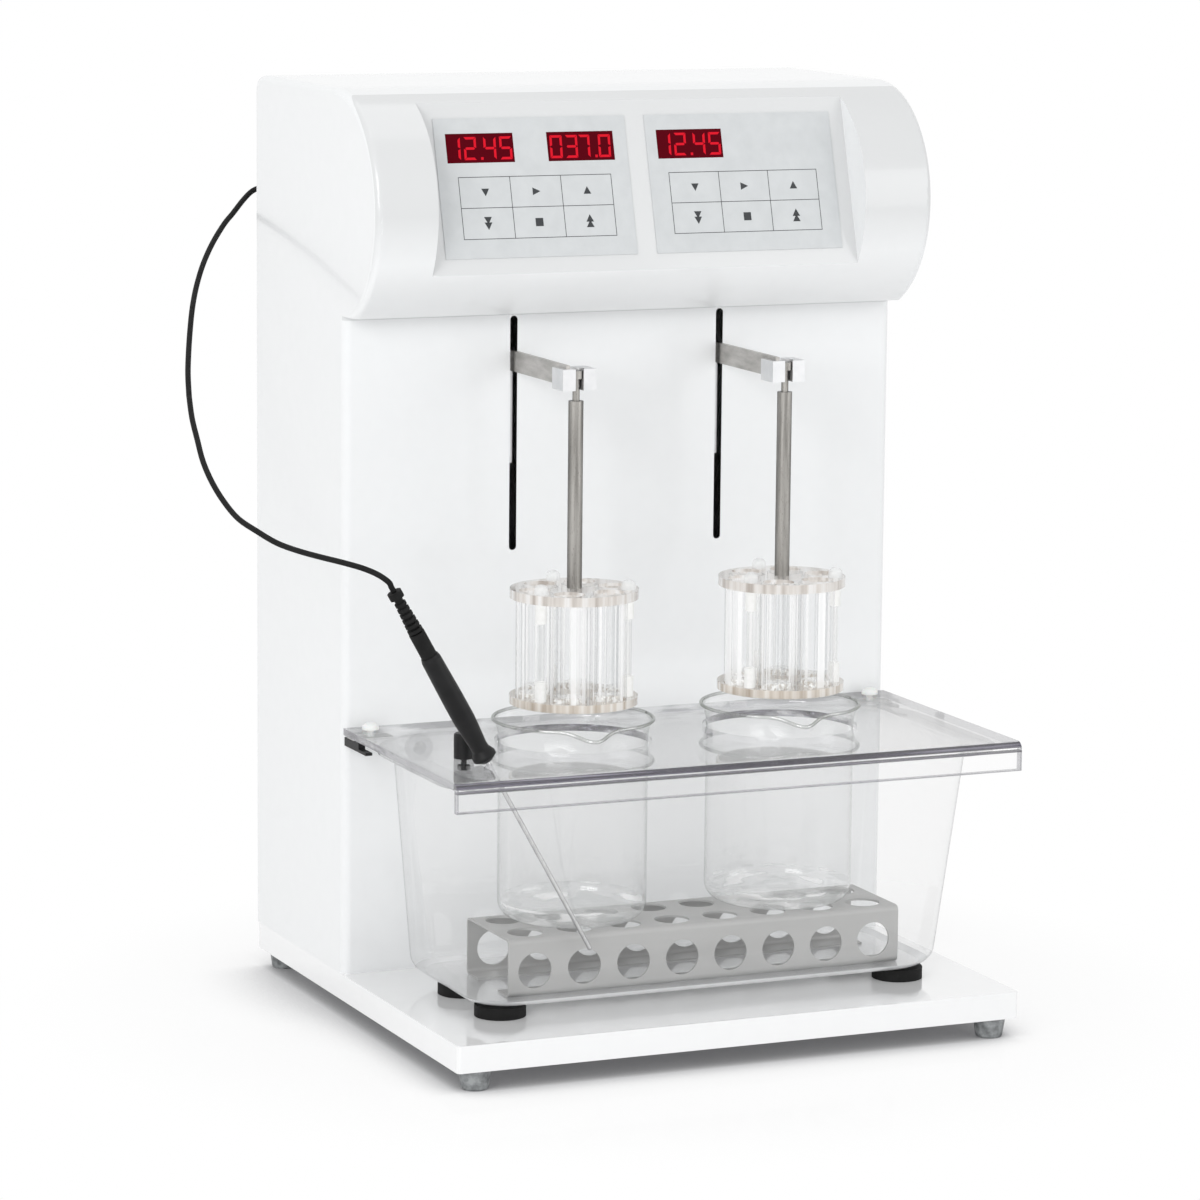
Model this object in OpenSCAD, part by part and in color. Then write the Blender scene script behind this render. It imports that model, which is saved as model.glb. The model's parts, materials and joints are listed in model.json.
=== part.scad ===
// Tablet disintegration tester with two stations: a slab base, a tower with an
// overhanging control hood, two rack-driven lift arms with tube baskets, and a
// clear water tank under a lid that two beakers and a temperature probe pass through.
// Origin: on the bench, under the middle of the base. +X right, +Y to the back, +Z up.

/* [Base] */
// Width of base and tower
base_w = 426; // [410:1:460]
// Depth of the base
base_d = 400; // [392:1:440]
// Thickness of the base slab
base_t = 19; // [14:1:26]
// Height of the feet
foot_h = 14; // [10:1:22]
// Width of a foot at its top
foot_d = 23; // [18:1:26]

/* [Tower] */
// Depth of the tower
tower_d = 180; // [176:1:200]
// Height of the tower over the base
tower_h = 628; // [610:1:680]
// Wall of the tower and the hood
wall = 3; // [2:0.5:4]
// Radius of the rounded hood
hood_r = 84; // [80:1:90]
// How far the hood's centre lies behind the tower's front
hood_set = 20; // [14:1:26]
// Height of the hood's flat underside over the base
hood_under = 470; // [468:1:480]
// Rounding of the tower's front corners
corner_r = 6; // [3:1:10]
// Rounding of the hood's side edges
edge_r = 5; // [2:1:8]

/* [Control panel] */
// Width of the flat recess that carries the keypads
panel_w = 327; // [322:1:350]
// Margin beside the keypad foils in their recess
panel_margin = 11.3; // [9:0.1:20]
// Lean of the panel from upright, in degrees
panel_tilt = 16; // [12:1:20]
// Distance of the panel from the hood's centre line
panel_set = 58; // [54:1:64]
// Sideways place of the panel
panel_x = -4; // [-10:1:10]
// Height of a keypad foil
foil_h = 99; // [90:1:104]
// Thickness of a keypad foil
foil_t = 0.8; // [0.5:0.1:1.5]
// Gap between the two foils
foil_gap = 15.4; // [10:0.2:20]
// Width of a display window
window_w = 50.6; // [46:0.2:54]
// Height of a display window
window_h = 20.8; // [16:0.2:24]
// Height of the window centres over the panel's middle
window_v = 28.3; // [24:0.1:32]

/* [Stations] */
// Distance between the two stations
station_pitch = 160; // [150:1:170]
// Sideways place of the pair of arm slots
slots_x = -4.6; // [-10:0.2:4]
// Distance of each basket's centre to the right of its arm slot
basket_side = 8.2; // [7:0.1:10]
// Reach of the basket centres in front of the tower
reach = 93; // [84:1:98]
// Width of an arm slot
slot_w = 5.6; // [5:0.1:7]

/* [Lift] */
// Height of the arm's lower edge over the base, as shown
arm_z = 427; // [424:0.5:429]
// Height of the arm bar
arm_h = 14.5; // [12:0.5:16]
// Thickness of the arm bar
arm_t = 3; // [2:0.2:3.4]
// Travel of the arms down from where they stand
travel_down = 120; // [100:1:122]
// Travel of the arms up from where they stand
travel_up = 22; // [10:1:23]
// Diameter of the guide rods
guide_d = 8; // [6:1:10]
// Running clearance round a guide rod
guide_gap = 0.05; // [0.02:0.01:0.1]
// Tooth module of rack and pinion
tooth_module = 1.25; // [1:0.25:1.5]
// Teeth on a pinion
pinion_teeth = 24; // [20:1:28]
// Face width of the pinions
pinion_w = 8; // [6:1:10]

/* [Hanger] */
// Width of the hook block
hook_w = 25; // [22:0.5:28]
// Depth of the hook block
hook_d = 19.6; // [17:0.2:22]
// Height of the hook block
hook_h = 15; // [13:0.5:18]
// Width of the slot in the hook block
hook_slot = 6; // [5.6:0.1:7]
// Diameter of the hanger rod
hanger_d = 10.5; // [9:0.5:12]
// Diameter of the hanger's neck
neck_d = 5; // [4:0.2:5.4]

/* [Basket] */
// Diameter of the basket plates
plate_d = 90; // [88:0.5:92]
// Thickness of the basket plates
plate_t = 6.5; // [6:0.25:7]
// Height of the lower plate's underside over the base, as shown
basket_z = 203.7; // [202:0.5:212]
// Length of the tubes
tube_l = 77.5; // [75:0.5:80]
// Outer diameter of the tubes
tube_d = 26; // [25:0.5:27]
// Inner diameter of the tubes
tube_bore = 22; // [21.5:0.1:23]
// Diameter of the circle through the tube centres
tube_circle = 60; // [59:0.5:61]
// Depth of the tube seats in the plates
tube_seat = 4.4; // [3:0.2:5]
// Diameter of a guide disc in a tube
disc_d = 20.7; // [20:0.1:21]
// Height of a guide disc
disc_h = 9.5; // [8:0.5:11]
// Diameter of the tie rods
tie_d = 5; // [4:0.5:6]
// Radius of the circle through the tie rods
tie_r = 38; // [37.5:0.5:39]

/* [Beakers and rack] */
// Outer diameter of a beaker
beaker_d = 105; // [103:0.5:107]
// Height of a beaker
beaker_h = 142; // [139:0.5:145]
// Diameter of a beaker's rim
beaker_rim_d = 114; // [112:0.5:118]
// Wall of a beaker
beaker_wall = 2; // [1.5:0.1:2.5]
// Length of the beaker rack
rack_l = 300; // [290:1:306]
// Depth of the beaker rack
rack_d = 77; // [74:1:84]
// Height of the beaker rack
rack_h = 41; // [38:0.5:44]
// Sheet thickness of the beaker rack
rack_t = 1.5; // [1:0.1:2]
// Diameter of the holes in the beaker rack
rack_hole_d = 25; // [20:0.5:26]
// Spacing of the holes in the beaker rack
rack_pitch = 37.2; // [35:0.2:39]

/* [Tank] */
// Distance of the tank's walls, under its flange, from the base's sides
tank_margin = 21; // [19:1:23]
// Depth of the tank under its flange
tank_d = 188; // [184:1:190]
// Slope of the tank's left, right and back walls, as inset at the floor
tank_inset = 12; // [8:1:14]
// Slope of the tank's front wall, as inset at the floor
tank_front_inset = 28; // [24:1:30]
// Wall of the tank
tank_wall = 3; // [2:0.5:4]
// Radius of the tank's upright corners
tank_corner = 37; // [30:1:42]
// Diameter of the round pads under the tank
pad_d = 36; // [30:1:40]
// Height of the pads
pad_h = 8; // [5:1:10]

/* [Lid] */
// Height of the lid's top over the base
lid_z = 178.6; // [176:0.2:182]
// Thickness of the lid
lid_t = 5; // [4:0.5:6]
// Depth of the lid's bent front lip
lid_lip = 20.5; // [14:0.5:24]
// Depth of the lid from its lip to the tower
lid_d = 215.5; // [213:0.5:218]
// Diameter of the lid's beaker holes
lid_hole_d = 110; // [109:0.5:111]

/* [Probe] */
// Lean of the probe from upright, in degrees
probe_tilt = 29.5; // [26:0.5:32]
// Sideways place where the probe passes the lid's top, from the base's left side
probe_x = 46.4; // [44:0.2:50]
// Place of the probe behind the middle of the gap between beaker and tank front
probe_set = 2.2; // [0:0.2:4]
// Diameter of the probe's rod
probe_d = 3; // [2.5:0.1:4]
// Length of the probe's rod under the lid's top
probe_l = 156; // [140:1:158]

/* [Hidden] */
$fn = 48;

// A little more than a cut needs, so that it passes its face
over = 1;
base_top = foot_h + base_t;
half_w = base_w / 2;
back_y = base_d / 2;
front_y = -base_d / 2;
tower_y = back_y - tower_d;
tower_top = base_top + tower_h;
hood_y = tower_y + hood_set;
hood_z = tower_top - hood_r;
hood_floor = base_top + hood_under;
back_top_r = 14;

// Rear cover, sunk into the back of the housing
rear_t = 2;
rear_y = back_y - 6;
rear_top = tower_top - back_top_r;
lip_w = 12;

// Station places: slot, basket axis and arm
slot_x = [slots_x - station_pitch / 2, slots_x + station_pitch / 2];
basket_x = [for (x = slot_x) x + basket_side];
basket_y = tower_y - reach;
arm_x0 = (slot_w / 2) - arm_t - 0.5;
arm_z0 = base_top + arm_z;
slot_z0 = arm_z0 - travel_down - 8;
slot_z1 = arm_z0 + arm_h + travel_up + 3;

// Lift drive
carriage_front = tower_y + wall + 1.5;
blade_t = 3;
blade_drop = 66;
ledge_w = 1.7;
slider_w = 30;
slider_y0 = carriage_front + 6;
slider_d = 30;
guide_y = slider_y0 + slider_d / 2;
guide_span = 16;
slider_x1 = arm_x0 - blade_t;
slider_x0 = slider_x1 - slider_w;
guide_x = (slider_x0 + slider_x1) / 2;
carriage_z0 = arm_z0 - blade_drop;
carriage_h = blade_drop + arm_h;
rack_bar_t = 5;
rack_bar_w = pinion_w + 2;
addendum = tooth_module;
dedendum = 1.25 * tooth_module;
tooth_pitch = PI * tooth_module;
pitch_r = tooth_module * pinion_teeth / 2;
mesh_x = slider_x0 - rack_bar_t - dedendum;
pinion_x = mesh_x - pitch_r;
pinion_z = carriage_z0 + 8;
teeth_below = ceil((travel_up + 8) / tooth_pitch);
teeth_above = ceil((travel_down + 8) / tooth_pitch);
backlash = 0.3;
shaft_d = 6;
frame_t = 4;
frame_y = guide_y + slider_d / 2 + 8;
frame_z0 = carriage_z0 - travel_down - 40;
frame_z1 = arm_z0 + arm_h + travel_up + 70;
frame_x0 = slot_x[0] + pinion_x - pitch_r - 8;
frame_x1 = slot_x[1] + 12;
motor_d = 37;
motor_l = 62;
gearbox_l = 24;

// Hook block and hanger rod
hook_z0 = arm_z0 - 3;
hook_y0 = basket_y - 6.4;
pocket_d = hanger_d + 1;
pocket_depth = 7;
head_h = 5.5;
neck_drop = 7.5;

// Basket
low_plate_z0 = base_top + basket_z;
tube_z0 = low_plate_z0 + plate_t - tube_seat;
top_plate_z0 = tube_z0 + tube_l - tube_seat;
top_plate_z1 = top_plate_z0 + plate_t;
mesh_t = 0.8;
tube_angles = [for (i = [0 : 5]) i * 60];
tie_angles = [90, 210, 330];
sleeve_d = 8;
nut_d = 10;
nut_h = 7;

// Keypad foils, side by side in the recess
foil_w = (panel_w - foil_gap) / 2 - panel_margin;

// Tank, rack and beakers, stacked on the base
tank_w = base_w - 2 * tank_margin;
tank_z0 = base_top + pad_h;
tank_floor = tank_z0 + tank_wall;
flange_t = 4;
lid_z1 = base_top + lid_z;
lid_z0 = lid_z1 - lid_t;
tank_z1 = lid_z0;
tank_gap = 12;
tank_y1 = tower_y - tank_gap;
tank_y = tank_y1 - tank_d / 2;
tank_y0 = tank_y1 - tank_d;
tank_fillet = 14;
rack_z1 = tank_floor + rack_h;
rack_gap = 7;
rack_y = tank_y0 + tank_front_inset + tank_wall + tank_fillet + rack_gap + rack_d / 2;
rack_row = 20;
beaker_base_r = 12;
beaker_z1 = rack_z1 + beaker_h;
spout_r = 62;

// Lid
lid_y1 = tower_y - 0.5;
lid_y0 = lid_y1 - lid_d;
bend_r = 6;
tab_l = 30;
tab_w = 14;
tab_t = 1.5;
tab_inset = 1.5;
tab_gap = 3;
tab_bolt_d = 5;
tab_nut_h = 3;
tab_cap_r = 6;
knob_d = 14;
knob_h = 17.5;
knob_x = -half_w + 39;
knob_y = tank_y0 + 69;

// Probe, along its own leaning axis from the point where it meets the lid's top
probe_tip_z = lid_z1 - probe_l * cos(probe_tilt);
probe_front = tank_y0 + tank_wall
    + tank_front_inset * (1 - (probe_tip_z - tank_z0) / (tank_z1 - tank_z0));
probe_y = (basket_y - beaker_d / 2 + probe_front) / 2 + probe_set;
probe_base = [probe_x - half_w, probe_y, lid_z1];
flare_lift = 3;
flare_d = 17;
grip_d = 14.4;
grip_l = 86;
boot_l = 52;
boot_d = 9;

// Cable: route points from the plug at the back, round the left side, to the probe
cable_d = 4;
cable_sides = 10;
plug_x = -half_w + 25;
plug_z = 575;
plug_l = 22;
plug_end = back_y + 2 + plug_l;
probe_axis = [-sin(probe_tilt), 0, cos(probe_tilt)];
boot_end = probe_base + (flare_lift + grip_l + boot_l) * probe_axis;
cable_middle = [
    [-192, 242, 576], [-200, 245, 573], [-209, 240, 567], [-220, 232, 558], [-230, 223, 551],
    [-244, 208, 539], [-257, 191, 526], [-268, 174, 512], [-278, 154, 499], [-286, 136, 485],
    [-293, 119, 471], [-299, 103, 457], [-304, 86, 443], [-308, 68, 430], [-310, 51, 417],
    [-312, 33, 404], [-312, 14, 392], [-310, -5, 381], [-307, -26, 372], [-301, -46, 366],
    [-293, -64, 360], [-285, -83, 357], [-276, -101, 355], [-266, -116, 353], [-255, -127, 350],
    [-246, -133, 346]
];
cable_route = concat(
    [for (step = [0, 4.5, 9]) [plug_x, plug_end + step, plug_z]],
    cable_middle,
    [for (step = [8, 4, 0]) boot_end + step * probe_axis]
);

// ---------------------------------------------------------------- helpers

// Rectangle with rounded corners, centred
module rounded_square(w, d, r) {
    square([w - 2 * r, d], center = true);
    square([w, d - 2 * r], center = true);
    for (x = [-1, 1], y = [-1, 1]) {
        translate([x * (w / 2 - r), y * (d / 2 - r)]) circle(r);
    }
}

// Box from one corner to the other
module box(low, high) {
    translate(low) cube(high - low);
}

// Cylinder along +Y from a point
module rod_y(point, r, l) {
    translate(point) rotate([-90, 0, 0]) cylinder(r = r, h = l);
}

// Places its children in the panel's own frame: z = 0 on the panel, y up along it
module on_panel() {
    translate([panel_x, hood_y, hood_z]) rotate([90 - panel_tilt, 0, 0])
        translate([0, 0, panel_set]) children();
}

window_inset = 8;
window_outset = 9.9;
// Left corner of foil i in the panel's frame
function foil_x(i) = i == 0 ? -foil_gap / 2 - foil_w : foil_gap / 2;
windows = [foil_x(0) + window_inset, foil_x(0) + foil_w - window_w - window_outset,
    foil_x(1) + window_inset];

module window_shape() {
    for (w = windows) {
        translate([w, window_v - window_h / 2]) square([window_w, window_h]);
    }
}

module at_slot(i) {
    translate([slot_x[i], 0, 0]) children();
}

module at_basket(i) {
    translate([basket_x[i], basket_y, 0]) children();
}

// ---------------------------------------------------------------- base

foot_places = [for (x = [-1, 1], y = [-1, 1]) [x * (half_w - 17), y * (back_y - 12)]];

module base_plate() {
    color("white") difference() {
        translate([0, 0, foot_h]) linear_extrude(base_t) rounded_square(base_w, base_d, 3);
        for (p = foot_places) {
            translate([p[0], p[1], foot_h - over]) cylinder(d = 4, h = 11 + over);
        }
    }
}

module rubber_feet() {
    color("dimgray") for (p = foot_places) {
        translate([p[0], p[1], 0]) difference() {
            rotate_extrude() polygon([
                [0, 0], [foot_d / 2 - 3, 0], [foot_d / 2 - 2, 1], [foot_d / 2, foot_h], [0, foot_h]
            ]);
            translate([0, 0, -over]) cylinder(d = 9, h = 4 + over);
            cylinder(d = 4.4, h = foot_h + over);
        }
    }
}

module foot_screws() {
    color("silver") for (p = foot_places) {
        translate([p[0], p[1], 1.2]) {
            cylinder(d = 7.5, h = 2.8);
            translate([0, 0, 2.8]) cylinder(d = 4, h = foot_h + 5);
        }
    }
}

// ---------------------------------------------------------------- housing

module tower_plan(inset) {
    r = corner_r;
    translate([-half_w + inset, tower_y + inset + r]) square([base_w - 2 * inset, tower_d - r]);
    translate([-half_w + inset + r, tower_y + inset]) square([base_w - 2 * inset - 2 * r, tower_d]);
    for (x = [-1, 1]) {
        translate([x * (half_w - inset - r), tower_y + inset + r]) circle(r);
    }
}

// Hood and tower as one solid block
module housing_block() {
    translate([0, 0, base_top]) linear_extrude(hood_under) difference() {
        tower_plan(0);
        translate([-base_w, back_y]) square([2 * base_w, tower_d]);
    }
    // upper body behind the hood's centre line
    intersection() {
        translate([0, back_y, 0]) rotate([90, 0, 0]) linear_extrude(back_y - hood_y) {
            box_top(half_w, edge_r, hood_floor, tower_top, [1, -1]);
        }
        translate([-half_w, 0, 0]) rotate([90, 0, 90]) linear_extrude(base_w) {
            translate([hood_y, hood_floor])
                square([back_y - hood_y, tower_top - back_top_r - hood_floor]);
            translate([hood_y, hood_floor])
                square([back_y - back_top_r - hood_y, tower_top - hood_floor]);
            translate([back_y - back_top_r, tower_top - back_top_r]) circle(back_top_r);
        }
    }
    // the round front of the hood
    intersection() {
        translate([0, hood_y, hood_z]) rotate([0, 90, 0]) rotate_extrude() {
            translate([0, -half_w + edge_r]) square([hood_r, base_w - 2 * edge_r]);
            translate([0, -half_w]) square([hood_r - edge_r, base_w]);
            for (x = [-1, 1]) {
                translate([hood_r - edge_r, x * (half_w - edge_r)]) circle(edge_r);
            }
        }
        box([-half_w - over, hood_y - 2 * hood_r, hood_floor], [half_w + over, hood_y, tower_top + over]);
    }
}

// Cross-section with rounded upper corners
module box_top(half, r, z0, z1, sides) {
    translate([-half, z0]) square([2 * half, z1 - r - z0]);
    translate([-half + r, z0]) square([2 * (half - r), z1 - z0]);
    for (s = sides) {
        translate([s * (half - r), z1 - r]) circle(r);
    }
}

module housing_cavity() {
    inner_w = half_w - wall;
    box([-inner_w, tower_y + wall, base_top - over], [inner_w, back_y + over, hood_floor + wall + 1]);
    box([-inner_w, hood_y, hood_floor], [inner_w, back_y + over, rear_top]);
    box([-inner_w, hood_y, hood_floor], [inner_w, back_y - back_top_r, tower_top - wall]);
    intersection() {
        translate([-inner_w, hood_y, hood_z]) rotate([0, 90, 0]) cylinder(r = hood_r - wall, h = 2 * inner_w);
        box([-inner_w, hood_y - hood_r, hood_floor + wall], [inner_w, hood_y, tower_top]);
    }
}

// Bosses on the side walls that take the rear cover's screws
boss_z = [base_top + 40, base_top + 220, base_top + 400, tower_top - 50];
module rear_bosses() {
    for (z = boss_z, s = [-1, 1]) {
        x = s * (half_w - wall);
        box([min(x, x - s * lip_w), rear_y - 16, z - 8], [max(x, x - s * lip_w), rear_y, z + 8]);
    }
}

module rear_screw_holes(r, y0, l) {
    for (z = boss_z, s = [-1, 1]) {
        rod_y([s * (half_w - wall - lip_w / 2), y0, z], r, l);
    }
}

module arm_slot() {
    low = slot_z0 + slot_w / 2;
    high = slot_z1 - slot_w / 2;
    box([-slot_w / 2, tower_y - over, low], [slot_w / 2, tower_y + wall + over, high]);
    for (z = [low, high]) {
        rod_y([0, tower_y - over, z], slot_w / 2, wall + 2 * over);
    }
}

port_x = -half_w + 57;
port_z = base_top + 161;
port_d = 20;

module housing() {
    color("white") difference() {
        union() {
            difference() {
                housing_block();
                difference() {
                    housing_cavity();
                    on_panel() translate([-panel_w / 2 - wall, -hood_r, -wall])
                        cube([panel_w + 2 * wall, 2 * hood_r, hood_r]);
                }
            }
            rear_bosses();
        }
        on_panel() translate([-panel_w / 2, -hood_r, 0]) cube([panel_w, 2 * hood_r, hood_r]);
        on_panel() translate([0, 0, -wall - over]) linear_extrude(wall + 2 * over) window_shape();
        for (i = [0, 1]) {
            at_slot(i) arm_slot();
        }
        rod_y([port_x, tower_y - over, port_z], 7, wall + 2 * over);
        rear_screw_holes(rear_screw_r, rear_y - rear_screw_l - 2, rear_screw_l + 10);
    }
}

// ---------------------------------------------------------------- rear

inlet_x = half_w - 63;
inlet_z = base_top + 46;
inlet_w = 27;
inlet_h = 20;
switch_x = inlet_x - 46;
switch_w = 13;
switch_h = 19;
switch_wall = 2.5;
vent_rows = 9;
vent_l = 50;
vent_h = 3;
vent_step = 70;
vent_pitch = 9;
vent_z = base_top + tower_h - 188;

module rear_cover() {
    inner_w = half_w - wall;
    color("whitesmoke") difference() {
        box([-inner_w, rear_y, base_top], [inner_w, rear_y + rear_t, rear_top]);
        rear_screw_holes(rear_screw_r + 0.2, rear_y - over, rear_t + 2 * over);
        box([inlet_x - inlet_w / 2, rear_y - over, inlet_z - inlet_h / 2],
            [inlet_x + inlet_w / 2, back_y, inlet_z + inlet_h / 2]);
        translate([switch_x, rear_y, inlet_z])
            cube([switch_w + 2 * switch_wall, 20, switch_h + 2 * switch_wall], center = true);
        rod_y([plug_x, rear_y - over, plug_z], 6, rear_t + 2 * over);
        for (row = [0 : vent_rows - 1], column = [-1, 0, 1]) {
            box([column * vent_step - vent_l / 2, rear_y - over, vent_z + row * vent_pitch],
                [column * vent_step + vent_l / 2, back_y, vent_z + row * vent_pitch + vent_h]);
        }
    }
}

rear_screw_r = 1.6;
rear_screw_l = 10;

module rear_cover_screws() {
    color("silver") for (z = boss_z, s = [-1, 1]) {
        x = s * (half_w - wall - lip_w / 2);
        rod_y([x, rear_y - rear_screw_l, z], rear_screw_r, rear_screw_l + rear_t);
        rod_y([x, rear_y + rear_t, z], 1.9 * rear_screw_r, 1.1 * rear_screw_r);
    }
}

module mains_inlet() {
    color("black") difference() {
        union() {
            box([inlet_x - inlet_w / 2, rear_y - 24, inlet_z - inlet_h / 2],
                [inlet_x + inlet_w / 2, rear_y + rear_t, inlet_z + inlet_h / 2]);
            box([inlet_x - 24, rear_y + rear_t, inlet_z - 12], [inlet_x + 24, back_y - 0.5, inlet_z + 12]);
        }
        translate([inlet_x, back_y + over, inlet_z]) rotate([90, 0, 0]) linear_extrude(20)
            polygon([[-11, -8], [11, -8], [11, 3], [6, 8], [-6, 8], [-11, 3]]);
    }
    color("silver") for (pin = [[-7, -2], [0, 2], [7, -2]]) {
        box([inlet_x + pin[0] - 1, back_y - 19, inlet_z + pin[1] - 2],
            [inlet_x + pin[0] + 1, back_y - 5, inlet_z + pin[1] + 2]);
    }
}

rocker_r = 8;
rocker_y = rear_y + rear_t - 3;
rocker_pin_r = 1.5;
rocker_half = switch_w / 2 - 0.4;

module switch_case() {
    color("black") difference() {
        union() {
            translate([switch_x - switch_w / 2 - switch_wall, rear_y - 20, inlet_z - switch_h / 2 - switch_wall])
                cube([switch_w + 2 * switch_wall, 20 + rear_t, switch_h + 2 * switch_wall]);
            translate([switch_x - switch_w / 2 - 4, rear_y + rear_t, inlet_z - switch_h / 2 - 4])
                cube([switch_w + 8, 2, switch_h + 8]);
        }
        translate([switch_x - switch_w / 2, rocker_y - rocker_r - 1, inlet_z - switch_h / 2])
            cube([switch_w, 3 * rocker_r, switch_h]);
        translate([switch_x - switch_w / 2 - 2, rocker_y, inlet_z]) rotate([0, 90, 0])
            cylinder(r = rocker_pin_r + 0.06, h = switch_w + 4);
    }
}

module rocker_switch() {
    color("black") {
        difference() {
            translate([switch_x - rocker_half, rocker_y, inlet_z]) rotate([0, 90, 0])
                cylinder(r = rocker_r, h = 2 * rocker_half);
            box([switch_x - switch_w, rocker_y + 5.2, inlet_z - 12], [switch_x + switch_w, back_y + 12, inlet_z + 12]);
            rotate_about([0, rocker_y, inlet_z], 14)
                box([switch_x - switch_w, rocker_y + 4.2, inlet_z], [switch_x + switch_w, back_y + 12, inlet_z + 12]);
        }
        translate([switch_x - rocker_half - 2, rocker_y, inlet_z]) rotate([0, 90, 0])
            cylinder(r = rocker_pin_r, h = 2 * rocker_half + 4);
    }
}

// Turns its children about a line along X through a point
module rotate_about(point, angle) {
    translate(point) rotate([angle, 0, 0]) translate(-point) children();
}

module probe_socket() {
    color("silver") {
        difference() {
            union() {
                rod_y([plug_x, rear_y + rear_t, plug_z], 9, back_y - rear_y - rear_t - 0.5);
                rod_y([plug_x, rear_y - 14, plug_z], 6, 14 + rear_t);
            }
            rod_y([plug_x, rear_y - 8, plug_z], 4.5, 20);
        }
    }
}

// ---------------------------------------------------------------- panel

module keypad_foils() {
    color("lightgray") on_panel() linear_extrude(foil_t) difference() {
        for (i = [0, 1]) {
            translate([foil_x(i), -foil_h / 2]) square([foil_w, foil_h]);
        }
        window_shape();
    }
}

module display_windows() {
    color("darkred") on_panel() translate([0, 0, -wall]) linear_extrude(wall + foil_t - 0.2) window_shape();
}

board_gap = 9;
board_t = 1.6;

module control_board() {
    color("darkgreen") on_panel() translate([0, 0, -wall - board_gap - board_t])
        linear_extrude(board_t) square([foil_w * 2 + foil_gap, foil_h - 10], center = true);
    color("black") on_panel() translate([0, 0, -wall - board_gap]) linear_extrude(board_gap) window_shape();
    color("silver") on_panel() for (x = [-1, 1], y = [-1, 1]) {
        translate([x * foil_w, y * (foil_h / 2 - 10), -wall - board_gap]) cylinder(d = 5, h = board_gap);
    }
}

// ---------------------------------------------------------------- lift drive

// Involute of a circle of radius r, at the point where the radius has grown to q
function involute_angle(r, q) = (sqrt(q * q / (r * r) - 1) - acos(r / q) * PI / 180) * 180 / PI;

// Half angle that a tooth spans at radius q
function tooth_half(q) =
    let (base_r = pitch_r * cos(20), slack = backlash / 2 / pitch_r * 180 / PI)
    90 / pinion_teeth - slack / 2
    + involute_angle(base_r, pitch_r) - involute_angle(base_r, max(q, base_r));

tip_r = pitch_r + addendum;
root_r = pitch_r - dedendum;
flank = [for (k = [0 : 4]) root_r + (tip_r - root_r) * k / 4];

// The pinion has a tooth gap facing the rack at rest
module pinion_profile() {
    step = 360 / pinion_teeth;
    polygon([
        for (t = [0 : pinion_teeth - 1])
            let (mid = (t + 0.5) * step)
            each concat(
                [for (q = flank) q * [cos(mid - tooth_half(q)), sin(mid - tooth_half(q))]],
                [for (k = [4 : -1 : 0])
                    flank[k] * [cos(mid + tooth_half(flank[k])), sin(mid + tooth_half(flank[k]))]]
            )
    ]);
}

pinion_y = guide_y - pinion_w / 2;

module pinion(i) {
    color("silver") at_slot(i) translate([pinion_x, 0, pinion_z]) {
        translate([0, pinion_y, 0]) rotate([-90, 0, 0]) linear_extrude(pinion_w) pinion_profile();
        rod_y([0, pinion_y + pinion_w, 0], 6, 6);
        rod_y([0, pinion_y + pinion_w + 6, 0], shaft_d / 2, frame_y + frame_t + 12 - pinion_y - pinion_w - 6);
    }
}

// One rack tooth, pointing to -X, centred on z = 0
module rack_tooth() {
    half_pitch = tooth_pitch / 4 - backlash / 4;
    root = half_pitch + dedendum * tan(20);
    tip = half_pitch - addendum * tan(20);
    polygon([[dedendum + 0.01, -root], [dedendum + 0.01, root], [-addendum, tip], [-addendum, -tip]]);
}

module toothed_rack(i) {
    low = pinion_z - (teeth_below + 0.5) * tooth_pitch;
    high = pinion_z + (teeth_above + 0.5) * tooth_pitch;
    color("silver") at_slot(i) translate([0, guide_y + rack_bar_w / 2, 0]) rotate([90, 0, 0])
        linear_extrude(rack_bar_w) {
            translate([slider_x0 - rack_bar_t, low]) square([rack_bar_t, high - low]);
            for (t = [-teeth_below : teeth_above]) {
                translate([mesh_x, pinion_z + t * tooth_pitch]) rack_tooth();
            }
        }
}

module carriage(i) {
    color("gray") at_slot(i) difference() {
        union() {
            box([slider_x0, slider_y0, carriage_z0], [slider_x1, slider_y0 + slider_d, carriage_z0 + carriage_h]);
            box([slider_x1, carriage_front, carriage_z0],
                [arm_x0, slider_y0 + slider_d, carriage_z0 + carriage_h]);
            // ledge that the arm stands on
            box([slider_x1, carriage_front, carriage_z0], [arm_x0 + ledge_w, slider_y0, arm_z0]);
        }
        for (x = [-1, 1]) {
            translate([guide_x + x * guide_span / 2, guide_y, carriage_z0 - over])
                cylinder(r = guide_d / 2 + guide_gap, h = carriage_h + 2 * over);
        }
    }
}

module guide_rods() {
    color("silver") for (i = [0, 1], x = [-1, 1]) {
        at_slot(i) translate([guide_x + x * guide_span / 2, guide_y, frame_z0])
            cylinder(d = guide_d, h = frame_z1 - frame_z0);
    }
}

module drive_frame() {
    color("gainsboro") difference() {
        union() {
            box([frame_x0, frame_y, frame_z0], [frame_x1, frame_y + frame_t, frame_z1]);
            for (z = [frame_z0, frame_z1 - 6]) {
                box([frame_x0, tower_y + wall, z], [frame_x1, frame_y + frame_t, z + 6]);
            }
        }
        for (i = [0, 1]) {
            at_slot(i) {
                for (x = [-1, 1]) {
                    translate([guide_x + x * guide_span / 2, guide_y, frame_z0 - over])
                        cylinder(d = guide_d, h = frame_z1 - frame_z0 + 2 * over);
                }
                rod_y([pinion_x, frame_y - over, pinion_z], 8, frame_t + 2 * over);
            }
        }
    }
}

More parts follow.
